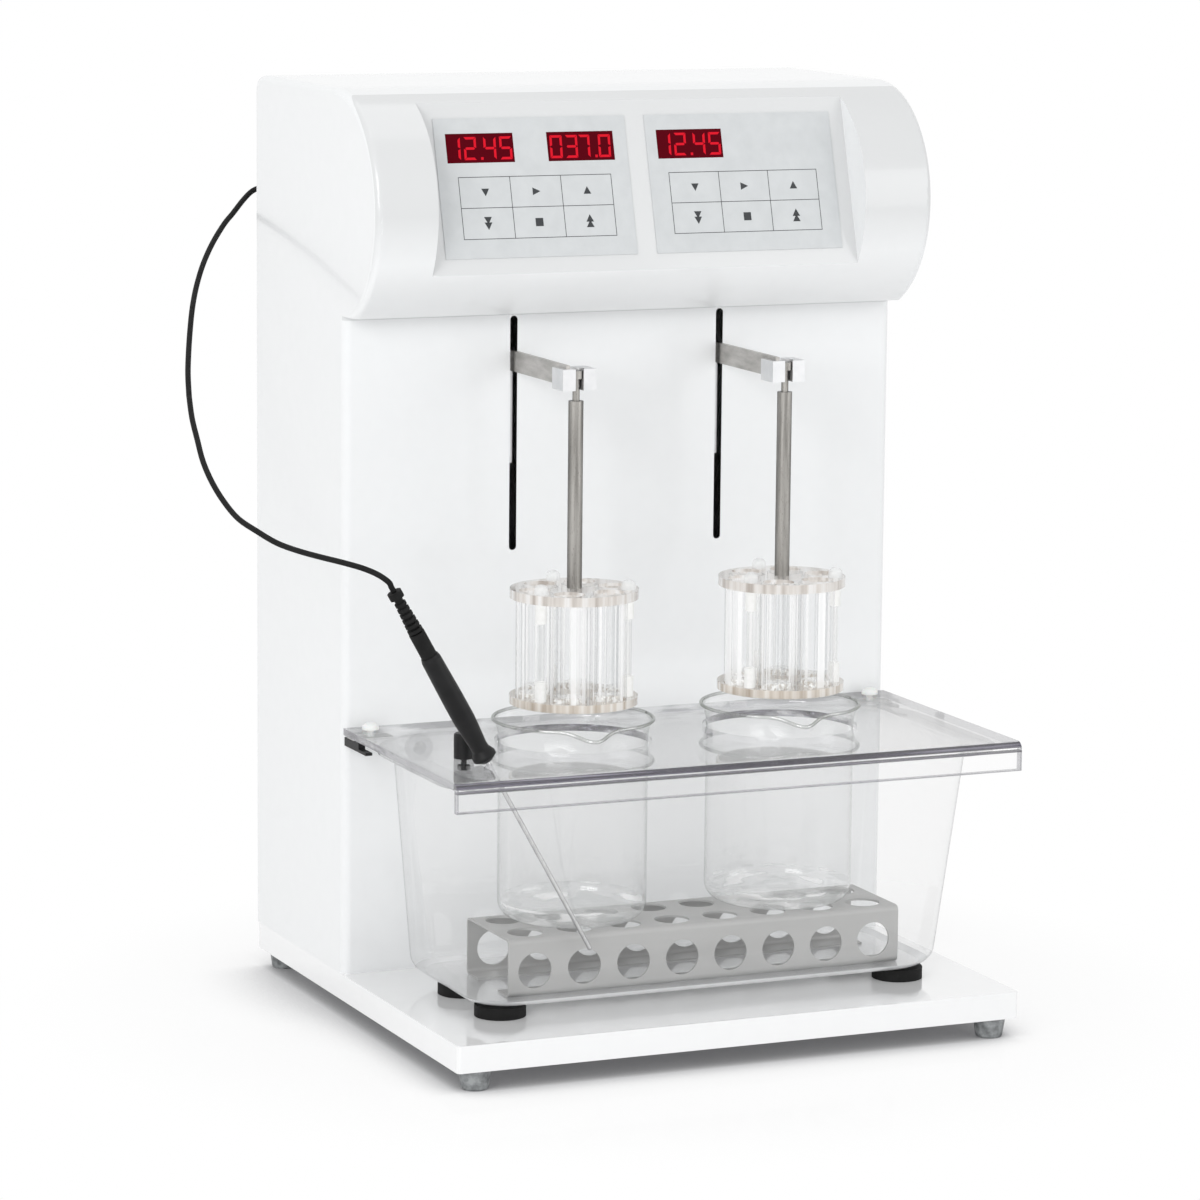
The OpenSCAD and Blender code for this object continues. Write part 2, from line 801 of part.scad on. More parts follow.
module drive_motors() {
    color("dimgray") for (i = [0, 1]) {
        at_slot(i) translate([pinion_x, 0, pinion_z]) difference() {
            union() {
                rod_y([0, frame_y + frame_t, 0], motor_d / 2, gearbox_l);
                rod_y([0, frame_y + frame_t + gearbox_l, 0], motor_d / 2 - 3, motor_l - gearbox_l);
            }
            rod_y([0, frame_y + frame_t - over, 0], shaft_d / 2 + guide_gap, 14 + over);
        }
    }
}

module arm(i) {
    color("silver") at_slot(i)
        box([arm_x0, hook_y0 + 3.4, arm_z0], [arm_x0 + arm_t, slider_y0 + slider_d, arm_z0 + arm_h]);
}

module hook_block(i) {
    mid = basket_side;
    color("silver") at_slot(i) difference() {
        box([mid - hook_w / 2, hook_y0, hook_z0], [mid + hook_w / 2, hook_y0 + hook_d, hook_z0 + hook_h]);
        box([arm_x0, hook_y0 + 3.4, arm_z0], [arm_x0 + arm_t, hook_y0 + hook_d + over, arm_z0 + arm_h]);
        box([mid - hook_slot / 2, hook_y0 - over, hook_z0 - over],
            [mid + hook_slot / 2, basket_y, hook_z0 + hook_h + over]);
        translate([mid, basket_y, hook_z0 - over]) cylinder(d = hook_slot, h = hook_h + 2 * over);
        translate([mid, basket_y, hook_z0 + hook_h - pocket_depth]) cylinder(d = pocket_d, h = pocket_depth + over);
    }
}

// ---------------------------------------------------------------- basket

module hanger_rod(i) {
    seat = hook_z0 + hook_h - pocket_depth;
    shoulder = hook_z0 - neck_drop;
    color("darkgray") at_basket(i) {
        translate([0, 0, top_plate_z1]) cylinder(d = hanger_d, h = shoulder - top_plate_z1);
        translate([0, 0, shoulder]) cylinder(d = neck_d, h = seat - shoulder);
        translate([0, 0, seat]) cylinder(d = hanger_d, h = head_h);
        translate([0, 0, top_plate_z0]) cylinder(d = 6, h = plate_t);
        translate([0, 0, top_plate_z0 - 5]) cylinder(d = 11, h = 5);
    }
}

module around(angles, r) {
    for (a = angles) {
        rotate([0, 0, a]) translate([r, 0, 0]) rotate([0, 0, -a]) children();
    }
}

module top_plate(i) {
    color("wheat") at_basket(i) translate([0, 0, top_plate_z0]) difference() {
        cylinder(d = plate_d, h = plate_t, $fn = 96);
        around(tube_angles, tube_circle / 2) {
            translate([0, 0, -over]) cylinder(d = tube_d, h = tube_seat + over);
            cylinder(d = tube_bore, h = plate_t + over);
        }
        around(tie_angles, tie_r) translate([0, 0, -over]) cylinder(d = tie_d, h = plate_t + 2 * over);
        translate([0, 0, -over]) cylinder(d = 6, h = plate_t + 2 * over);
    }
}

module bottom_plate(i) {
    color("tan") at_basket(i) translate([0, 0, low_plate_z0]) difference() {
        translate([0, 0, mesh_t]) cylinder(d = plate_d, h = plate_t - mesh_t, $fn = 96);
        around(tube_angles, tube_circle / 2) {
            translate([0, 0, plate_t - tube_seat]) cylinder(d = tube_d, h = tube_seat + over);
            translate([0, 0, -over]) cylinder(d = tube_bore, h = plate_t + over);
        }
        around(tie_angles, tie_r) translate([0, 0, -over]) cylinder(d = tie_d, h = plate_t + 2 * over);
        translate([0, 0, -over]) cylinder(d = 8, h = plate_t + 2 * over);
    }
}

module basket_mesh(i) {
    color("silver") at_basket(i) translate([0, 0, low_plate_z0]) difference() {
        cylinder(d = plate_d - 4, h = mesh_t);
        around(tie_angles, tie_r) translate([0, 0, -over]) cylinder(d = tie_d, h = plate_t);
        translate([0, 0, -over]) cylinder(d = 8, h = plate_t);
    }
}

module tubes(i) {
    color("lightcyan") at_basket(i) translate([0, 0, tube_z0]) around(tube_angles, tube_circle / 2) {
        difference() {
            cylinder(d = tube_d, h = tube_l);
            translate([0, 0, -over]) cylinder(d = tube_bore, h = tube_l + 2 * over);
        }
    }
}

module discs(i) {
    rest = low_plate_z0 + mesh_t;
    color("white") at_basket(i) translate([0, 0, rest]) around(tube_angles, tube_circle / 2) {
        difference() {
            cylinder(d = disc_d, h = disc_h);
            translate([0, 0, -over]) cylinder(d = 2, h = disc_h + 2 * over);
            around([0, 90, 180, 270], disc_d / 2) translate([0, 0, -over]) cylinder(d = 5, h = disc_h + 2 * over);
        }
    }
}

module tie_rods(i) {
    color("white") at_basket(i) around(tie_angles, tie_r) {
        translate([0, 0, low_plate_z0]) cylinder(d = tie_d, h = top_plate_z1 - low_plate_z0);
        translate([0, 0, top_plate_z0 - 14]) difference() {
            cylinder(d = sleeve_d, h = 14);
            translate([0, 0, -over]) cylinder(d = tie_d, h = 14 + 2 * over);
        }
        translate([0, 0, low_plate_z0 + plate_t]) difference() {
            cylinder(d = sleeve_d, h = 14);
            translate([0, 0, -over]) cylinder(d = tie_d, h = 14 + 2 * over);
        }
    }
}

module dome_nuts(i) {
    color("white") at_basket(i) around(tie_angles, tie_r) {
        translate([0, 0, top_plate_z1]) rotate_extrude() polygon([
            [0, 0], [nut_d / 2, 0], [nut_d / 2, 3],
            for (a = [0 : 15 : 90]) [nut_d / 2 * cos(a), 3 + (nut_h - 3) * sin(a)]
        ]);
    }
}

// ---------------------------------------------------------------- beakers

module beaker_shape(inset, rim) {
    r = beaker_d / 2 - inset;
    fillet = beaker_base_r - inset;
    flare = rim / 2;
    polygon([
        [0, inset],
        for (a = [0 : 15 : 90]) [r - fillet + fillet * sin(a), inset + fillet - fillet * cos(a)],
        for (a = [0 : 15 : 90])
            [r + (flare - beaker_d / 2) * (1 - cos(a)), beaker_h - 12 + 10 * sin(a)],
        [r + flare - beaker_d / 2, beaker_h + (inset > 0 ? over : 0)],
        [0, beaker_h + (inset > 0 ? over : 0)]
    ]);
}

module beaker(i) {
    spout_y = -(spout_r - 14);
    color("azure") at_basket(i) translate([0, 0, rack_z1]) difference() {
        union() {
            rotate_extrude($fn = 72) beaker_shape(0, beaker_rim_d);
            translate([0, spout_y, beaker_h - 22]) cylinder(r1 = 3, r2 = 14, h = 22);
        }
        rotate_extrude($fn = 72) beaker_shape(beaker_wall, beaker_rim_d);
        translate([0, spout_y, beaker_h - 19.5]) cylinder(r1 = 2, r2 = 12.6, h = 22);
    }
}

// ---------------------------------------------------------------- rack, tank

module rack_holes_x() {
    for (k = [0 : 7]) {
        translate([(k - 3.5) * rack_pitch, 0, 0]) children();
    }
}

module beaker_rack() {
    r = 4;
    color("silver") translate([slots_x + basket_side - 0.4, 0, 0]) difference() {
        translate([-rack_l / 2, rack_y, tank_floor + rack_h / 2]) rotate([90, 0, 90]) linear_extrude(rack_l)
            difference() {
                rounded_square(rack_d, rack_h, r);
                rounded_square(rack_d - 2 * rack_t, rack_h - 2 * rack_t, r - rack_t);
                translate([0, -rack_h / 2]) square([rack_d - 40, 4 * rack_t], center = true);
            }
        rack_holes_x() {
            rod_y([0, rack_y - rack_d, tank_floor + 17.8], rack_hole_d / 2, 2 * rack_d);
            for (s = [-1, 1]) {
                translate([0, rack_y + s * rack_row, tank_floor + rack_h / 2])
                    cylinder(d = rack_hole_d, h = rack_h);
            }
        }
    }
}

// Outline of the tank at a share s of the way from its floor (0) to its flange (1)
module tank_slice(s, grow, lift, shrink) {
    side = tank_inset * (1 - s) + grow + shrink;
    front = tank_front_inset * (1 - s) + grow + shrink;
    back = tank_inset * (1 - s) + grow + shrink;
    r = max(tank_corner - grow - shrink * 0.6 - (1 - s) * 6, 6);
    y0 = tank_y - tank_d / 2 + front;
    y1 = tank_y + tank_d / 2 - back;
    translate([0, (y0 + y1) / 2, lift]) linear_extrude(0.02) rounded_square(tank_w - 2 * side, y1 - y0, r);
}

module tank_hull(grow, z0, z1) {
    share = tank_fillet / (z1 - z0);
    hull() {
        for (a = [0 : 22.5 : 90]) {
            tank_slice(share * (1 - cos(a)), grow, z0 + tank_fillet * (1 - cos(a)), tank_fillet * (1 - sin(a)), $fn = 32);
        }
        tank_slice(1, grow, z1 - 0.02, 0, $fn = 32);
    }
}

module tank() {
    flange_y0 = lid_y0 + lid_t + 1;
    flange_y1 = tank_y1;
    color("aliceblue") difference() {
        union() {
            tank_hull(0, tank_z0, tank_z1);
            difference() {
                translate([0, (flange_y0 + flange_y1) / 2, tank_z1 - flange_t]) linear_extrude(flange_t)
                    rounded_square(base_w - 6, flange_y1 - flange_y0, tank_corner, $fn = 32);
                // room for the lid's tabs
                for (s = [-1, 1]) {
                    translate([s * half_w, tab_y, tank_z1 - flange_t / 2])
                        cube([2 * (tab_inset + tab_l + 2), tab_w + 4, 2 * flange_t], center = true);
                }
            }
        }
        tank_hull(tank_wall, tank_floor, tank_z1 + over);
    }
}

pad_side = 39;
pad_front = 52;
pad_back = 68;
pad_x = tank_w / 2 - pad_side;
pad_y = [tank_y0 + pad_front, tank_y1 - pad_back];

module tank_pads() {
    color("black") for (x = [-1, 1], y = pad_y) {
        translate([x * pad_x, y, base_top]) cylinder(d = pad_d, h = pad_h);
    }
}

module tank_port() {
    color("gray") difference() {
        union() {
            rod_y([port_x, tower_y - 3, port_z], port_d / 2, 3);
            rod_y([port_x, tower_y - 3, port_z], 7, 3 + wall + 8);
        }
        rod_y([port_x, tower_y - 6, port_z], 5, 30);
    }
}

// ---------------------------------------------------------------- inside units

pump_r = 22;
pump_head = 20;
pump_l = 66;
pump_foot = 8;

module circulation_pump() {
    y0 = tower_y + wall + 8;
    color("darkslategray") difference() {
        union() {
            rod_y([port_x, y0, port_z], pump_r, pump_head);
            rod_y([port_x, y0 + pump_head, port_z], 0.73 * pump_r, pump_l - pump_head);
            box([port_x - 1.1 * pump_r, y0 + 6, base_top],
                [port_x + 1.1 * pump_r, y0 + 6 + pump_foot, port_z - pump_r / 2]);
        }
        rod_y([port_x, y0 - over, port_z], 5, pump_head / 2 + over);
    }
}

// Power supply: a carrier, its board, and a transformer and three capacitors on it
supply_w = 110;
supply_d = 70;
supply_side = 83;
supply_back = 40;
supply_x = half_w - supply_side - supply_w;
supply_y = back_y - supply_d - supply_back;
supply_t = 8;
supply_board = 3;
supply_rim = 2;
core_w = 42;
core_h = 33;
can_d = 14;
can_h = 28;

module power_supply() {
    top = base_top + supply_t + supply_board;
    color("silver") box([supply_x, supply_y, base_top],
        [supply_x + supply_w, supply_y + supply_d, base_top + supply_t]);
    color("goldenrod") box([supply_x + supply_rim, supply_y + supply_rim, base_top + supply_t],
        [supply_x + supply_w - supply_rim, supply_y + supply_d - supply_rim, top]);
    color("dimgray") {
        translate([supply_x + 0.28 * supply_w, supply_y + supply_d / 2 - 5, top + core_h / 2])
            cube([core_w, core_w - 2, core_h], center = true);
        for (k = [0 : 2]) {
            translate([supply_x + 0.6 * supply_w + 1.15 * k * can_d, supply_y + supply_d / 2 - 5, top])
                cylinder(d = can_d, h = can_h);
        }
    }
}

// ---------------------------------------------------------------- lid

module lid() {
    hole = [for (i = [0, 1]) [basket_x[i], basket_y]];
    color("lavender") difference() {
        union() {
            box([-half_w, lid_y0 + bend_r, lid_z0], [half_w, lid_y1, lid_z1]);
            box([-half_w, lid_y0, lid_z1 - lid_lip], [half_w, lid_y0 + lid_t, lid_z1 - bend_r]);
            intersection() {
                translate([-half_w, lid_y0 + bend_r, lid_z1 - bend_r]) rotate([0, 90, 0]) difference() {
                    cylinder(r = bend_r, h = base_w);
                    translate([0, 0, -over]) cylinder(r = bend_r - lid_t, h = base_w + 2 * over);
                }
                box([-half_w - over, lid_y0, lid_z1 - bend_r], [half_w + over, lid_y0 + bend_r, lid_z1 + over]);
            }
        }
        for (p = hole) {
            translate([p[0], p[1], lid_z0 - over]) cylinder(d = lid_hole_d, h = lid_t + 2 * over, $fn = 96);
        }
        translate([probe_base[0] + 1.4, probe_base[1], lid_z0 - over]) cylinder(d = 9, h = lid_t + 2 * over);
        translate([knob_x, knob_y, lid_z0 - over]) cylinder(d = 4, h = lid_t + 2 * over);
        for (s = [-1, 1]) {
            translate([s * (half_w - tab_inset - tab_l / 2), tab_y, lid_z0 - over])
                cylinder(d = tab_bolt_d, h = lid_t + 2 * over);
        }
    }
}

tab_y = lid_y1 - tab_gap - tab_w / 2;

module lid_tabs() {
    color("gray") for (s = [-1, 1]) {
        translate([s * (half_w - tab_inset - tab_l / 2), tab_y, lid_z0 - tab_t]) difference() {
            linear_extrude(tab_t) square([tab_l, tab_w], center = true);
            translate([0, 0, -over]) cylinder(d = tab_bolt_d, h = tab_t + 2 * over);
        }
    }
}

module lid_screws() {
    color("white") for (s = [-1, 1]) {
        translate([s * (half_w - tab_inset - tab_l / 2), tab_y, 0]) {
            translate([0, 0, lid_z0 - tab_t]) cylinder(d = tab_bolt_d, h = lid_t + tab_t);
            translate([0, 0, lid_z0 - tab_t - tab_nut_h]) cylinder(d = 1.6 * tab_bolt_d, h = tab_nut_h);
            translate([0, 0, lid_z1]) rotate_extrude() polygon([
                [0, 0], [tab_cap_r, 0],
                for (a = [0 : 15 : 90]) tab_cap_r * [cos(a), (1 + 4 * sin(a)) / 6]
            ]);
        }
    }
}

bracket_w = 5;
bracket_t = 2;
bracket_rise = 4;
bracket_l = tab_gap + tab_w + 25;
bracket_step = tab_gap + tab_w + 11;

module lid_brackets() {
    z1 = lid_z0 - tab_t;
    low = z1 - bracket_rise;
    color("black") for (s = [-1, 1]) {
        translate([s * (half_w - 1 - bracket_w / 2) - bracket_w / 2, 0, 0]) {
            box([0, tower_y - bracket_l, low - bracket_t], [bracket_w, tower_y, low]);
            box([0, tower_y - bracket_step, low], [bracket_w, tower_y, z1]);
        }
    }
}

module lid_knob() {
    color("black") translate([knob_x, knob_y, 0]) {
        translate([0, 0, lid_z1]) rotate_extrude() polygon([
            [0, 0], [knob_d / 2, 0], [knob_d / 2, knob_h - 1], [knob_d / 2 - 1, knob_h], [0, knob_h]
        ]);
        translate([0, 0, lid_z0]) cylinder(d = 4, h = lid_t);
        translate([0, 0, lid_z0 - 3]) cylinder(d = 9, h = 3);
    }
}

// ---------------------------------------------------------------- probe

module on_probe() {
    translate(probe_base) rotate([0, -probe_tilt, 0]) children();
}

module probe_rod() {
    color("silver") on_probe() {
        translate([0, 0, -probe_l + probe_d / 2]) cylinder(d = probe_d, h = probe_l + 20);
        translate([0, 0, -probe_l + probe_d / 2]) sphere(d = probe_d);
    }
}

module probe_handle() {
    color("black") on_probe() difference() {
        translate([0, 0, flare_lift]) rotate_extrude() polygon([
            [0, 0], [4.5, 0], [flare_d / 2, 3], [flare_d / 2, 5], [6.2, 9.5], [6, 13], [6.6, 20],
            [grip_d / 2 + 0.4, 34], [grip_d / 2 + 0.4, 50], [grip_d / 2 - 0.2, grip_l - 3],
            [grip_d / 2 - 1, grip_l], [0, grip_l]
        ]);
        cylinder(d = probe_d, h = flare_lift + 20);
    }
}

module probe_boot() {
    z0 = flare_lift + grip_l;
    rib = 4.2;
    color("black") on_probe() translate([0, 0, z0]) rotate_extrude() {
        square([grip_d / 2 - 1.6, 19]);
        translate([0, 18]) square([cable_d / 2 + 1, boot_l - 18]);
        for (k = [0 : 5]) {
            translate([0, 20 + k * rib]) square([boot_d / 2 + 0.8 - k * 0.25, 2.4]);
        }
        translate([0, boot_l - 5]) square([boot_d / 2 + 0.6, 5]);
    }
}

module probe_plug() {
    color("dimgray") {
        rod_y([plug_x, back_y - 0.5, plug_z], 6.5, plug_end - back_y - 8);
        rod_y([plug_x, rear_y - 6, plug_z], 4.5, back_y + 0.5 - rear_y + 6);
        rod_y([plug_x, plug_end - 9, plug_z], 4, 9);
    }
}

// ---------------------------------------------------------------- cable

function unit(v) = v / norm(v);
function route_dir(p, i) =
    i == 0 ? unit(p[1] - p[0])
    : i == len(p) - 1 ? unit(p[i] - p[i - 1])
    : unit(unit(p[i + 1] - p[i]) + unit(p[i] - p[i - 1]));

// Rounds a route: points between the given ones on a smooth curve
function smooth_route(p, parts) = [
    for (i = [0 : len(p) - 2])
        let (a = p[max(i - 1, 0)], b = p[i], c = p[i + 1], d = p[min(i + 2, len(p) - 1)])
        for (k = [0 : parts - 1])
            let (t = k / parts)
            0.5 * (2 * b + (c - a) * t + (2 * a - 5 * b + 4 * c - d) * t * t
                + (3 * b - a - 3 * c + d) * t * t * t),
    p[len(p) - 1]
];

// A side direction carried along the route, so that the tube does not twist
function carried(p, i, side) =
    let (d = route_dir(p, i)) unit(side - (side * d) * d);

function sides(p, i = 0, side = [0, 0, 1], done = []) =
    i == len(p) ? done
    : let (s = carried(p, i, side)) sides(p, i + 1, s, concat(done, [s]));

module tube_along(p, d, n) {
    across = sides(p);
    points = [
        for (i = [0 : len(p) - 1])
            let (u = across[i], v = cross(route_dir(p, i), u))
            for (k = [0 : n - 1]) p[i] + d / 2 * (u * cos(k * 360 / n) + v * sin(k * 360 / n))
    ];
    last = (len(p) - 1) * n;
    faces = concat(
        [[for (k = [0 : n - 1]) k]],
        [for (i = [0 : len(p) - 2], k = [0 : n - 1])
            [i * n + k, (i + 1) * n + k, (i + 1) * n + (k + 1) % n, i * n + (k + 1) % n]],
        [[for (k = [n - 1 : -1 : 0]) last + k]]
    );
    polyhedron(points, faces, convexity = 6);
}

module probe_cable() {
    color("black") tube_along(smooth_route(cable_route, 2), cable_d, cable_sides);
}

// ---------------------------------------------------------------- nodes

base_plate();
rubber_feet();
foot_screws();
housing();
rear_cover();
rear_cover_screws();
keypad_foils();
display_windows();
control_board();
drive_frame();
guide_rods();
drive_motors();
power_supply();
circulation_pump();
mains_inlet();
switch_case();
rocker_switch();
probe_socket();
tank_port();
pinion(0);  // left_pinion
carriage(0);  // left_carriage
toothed_rack(0);  // left_toothed_rack
arm(0);  // left_arm
hook_block(0);  // left_hook_block
hanger_rod(0);  // left_hanger_rod
top_plate(0);  // left_top_plate
bottom_plate(0);  // left_bottom_plate
tubes(0);  // left_tubes
discs(0);  // left_discs
tie_rods(0);  // left_tie_rods
dome_nuts(0);  // left_dome_nuts
basket_mesh(0);  // left_mesh
beaker(0);  // left_beaker
pinion(1);  // right_pinion
carriage(1);  // right_carriage
toothed_rack(1);  // right_toothed_rack
arm(1);  // right_arm
hook_block(1);  // right_hook_block
hanger_rod(1);  // right_hanger_rod
top_plate(1);  // right_top_plate
bottom_plate(1);  // right_bottom_plate
tubes(1);  // right_tubes
discs(1);  // right_discs
tie_rods(1);  // right_tie_rods
dome_nuts(1);  // right_dome_nuts
basket_mesh(1);  // right_mesh
beaker(1);  // right_beaker
lid();
lid_tabs();
lid_screws();
lid_brackets();
lid_knob();
tank();
tank_pads();
beaker_rack();
probe_handle();
probe_boot();
probe_rod();
probe_plug();
probe_cable();
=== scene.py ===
import json
import math

import bpy
from mathutils import Matrix, Vector

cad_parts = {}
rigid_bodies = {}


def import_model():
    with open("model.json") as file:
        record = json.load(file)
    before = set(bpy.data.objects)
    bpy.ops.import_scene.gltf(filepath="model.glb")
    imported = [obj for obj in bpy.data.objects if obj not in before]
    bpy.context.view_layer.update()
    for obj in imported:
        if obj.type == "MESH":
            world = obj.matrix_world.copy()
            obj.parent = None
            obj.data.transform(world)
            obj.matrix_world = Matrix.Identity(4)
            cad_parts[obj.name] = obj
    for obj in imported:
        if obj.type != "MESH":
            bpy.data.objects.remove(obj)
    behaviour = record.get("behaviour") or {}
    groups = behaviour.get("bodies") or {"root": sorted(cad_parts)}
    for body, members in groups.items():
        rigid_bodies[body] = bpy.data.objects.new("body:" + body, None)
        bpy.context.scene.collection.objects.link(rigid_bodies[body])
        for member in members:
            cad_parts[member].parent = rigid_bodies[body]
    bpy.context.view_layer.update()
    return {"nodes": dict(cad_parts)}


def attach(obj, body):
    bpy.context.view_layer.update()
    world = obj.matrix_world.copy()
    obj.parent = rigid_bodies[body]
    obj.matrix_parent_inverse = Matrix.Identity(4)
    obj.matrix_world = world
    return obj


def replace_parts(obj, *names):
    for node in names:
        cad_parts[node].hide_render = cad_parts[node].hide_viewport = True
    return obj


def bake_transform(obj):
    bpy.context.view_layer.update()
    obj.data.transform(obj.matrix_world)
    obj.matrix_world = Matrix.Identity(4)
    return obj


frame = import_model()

MM = 0.001
nodes = frame["nodes"]

# ------------------------------------------------------------------ sizes, as in the source (mm)
SLOT_X = [-84.6, 75.4]
SLOT_HALF = 3.2                 # a little more than half of a slot's width
SLOT_WALL = (20.3, 23.8)        # the tower's front wall, front to back
BASKET_X = [-76.4, 83.6]
BASKET_Y = -73.0
HOOD = (40.0, 577.0)
PANEL_X = -4.0
PANEL_SET = 58.0
PANEL_TILT = math.radians(74)
FOIL_W, FOIL_H, FOIL_T, FOIL_GAP = 144.5, 99.0, 0.8, 15.4
WINDOW_V = 28.3                 # middle of the windows above the middle of the foils
WINDOW_INSET = 8.0              # first window from its foil's left edge
WINDOW_STEP = 76.0              # from the first window to the second one
RACK_TOP = 85.0
BEAKER_H = 142.0
LOW_PLATE = 236.7
TUBE_Z = (238.8, 316.3)
PROBE_BASE = Vector((-166.6, -137.994, 211.6))
PROBE_TILT = math.radians(29.5)
PROBE_AXIS = Vector((-math.sin(PROBE_TILT), 0.0, math.cos(PROBE_TILT)))
BOOT_END = PROBE_BASE + 141.0 * PROBE_AXIS
CABLE_D = 4.0
CABLE = [
    (-188, 224, 575), (-188, 228.5, 575), (-188, 233, 575),
    (-192, 242, 576), (-200, 245, 573), (-209, 240, 567), (-220, 232, 558), (-230, 223, 551),
    (-244, 208, 539), (-257, 191, 526), (-268, 174, 512), (-278, 154, 499), (-286, 136, 485),
    (-293, 119, 471), (-299, 103, 457), (-304, 86, 443), (-308, 68, 430), (-310, 51, 417),
    (-312, 33, 404), (-312, 14, 392), (-310, -5, 381), (-307, -26, 372), (-301, -46, 366),
    (-293, -64, 360), (-285, -83, 357), (-276, -101, 355), (-266, -116, 353), (-255, -127, 350),
    (-246, -133, 346),
    tuple(BOOT_END + 8 * PROBE_AXIS), tuple(BOOT_END + 4 * PROBE_AXIS), tuple(BOOT_END),
]


# ------------------------------------------------------------------ mesh helpers
def link(name, verts, faces, material, body, scale=MM, smooth=False, bevel=0.0):
    """New mesh piece from points in mm, riding on a body."""
    mesh = bpy.data.meshes.new(name)
    mesh.from_pydata([tuple(scale * c for c in v) for v in verts], [], faces)
    mesh.validate()
    ob = bpy.data.objects.new(name, mesh)
    bpy.context.scene.collection.objects.link(ob)
    if material:
        mesh.materials.append(material)
    if smooth:
        mesh.polygons.foreach_set("use_smooth", [True] * len(mesh.polygons))
    if bevel:
        mod = ob.modifiers.new("Bevel", "BEVEL")
        mod.width = bevel * MM
        mod.segments = 2
        mod.limit_method = "ANGLE"
    if body:
        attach(ob, body)
    return ob


def catmull(points, parts):
    """Points of a smooth curve through the given ones, each stretch cut into parts."""
    pts = [Vector(p) for p in points]
    out = []
    for i in range(len(pts) - 1):
        a, b = pts[max(i - 1, 0)], pts[i]
        c, d = pts[i + 1], pts[min(i + 2, len(pts) - 1)]
        for k in range(parts):
            t = k / parts
            out.append(0.5 * (2 * b + (c - a) * t + (2 * a - 5 * b + 4 * c - d) * t * t
                              + (3 * b - a - 3 * c + d) * t ** 3))
    out.append(pts[-1])
    return out


def sweep(points, radius, sides):
    """Vertices and faces of a round tube along points; radius is a number or one per point."""
    verts, faces = [], []
    side = Vector((0, 0, 1))
    n = len(points)
    for i, p in enumerate(points):
        d = (points[min(i + 1, n - 1)] - points[max(i - 1, 0)]).normalized()
        side = (side - side.dot(d) * d).normalized()
        other = d.cross(side)
        r = radius[i] if hasattr(radius, "__len__") else radius
        for k in range(sides):
            a = 2 * math.pi * k / sides
            verts.append(p + r * (math.cos(a) * side + math.sin(a) * other))
    for i in range(n - 1):
        for k in range(sides):
            faces.append((i * sides + k, i * sides + (k + 1) % sides,
                          (i + 1) * sides + (k + 1) % sides, (i + 1) * sides + k))
    faces.append(tuple(range(sides - 1, -1, -1)))
    faces.append(tuple((n - 1) * sides + k for k in range(sides)))
    return verts, faces


def panel_point(u, v, w=0.0):
    """A point of the leaning panel: u to the right, v up along it, w out of it."""
    z = PANEL_SET + w
    return (PANEL_X + u,
            HOOD[0] + v * math.cos(PANEL_TILT) - z * math.sin(PANEL_TILT),
            HOOD[1] + v * math.sin(PANEL_TILT) + z * math.cos(PANEL_TILT))


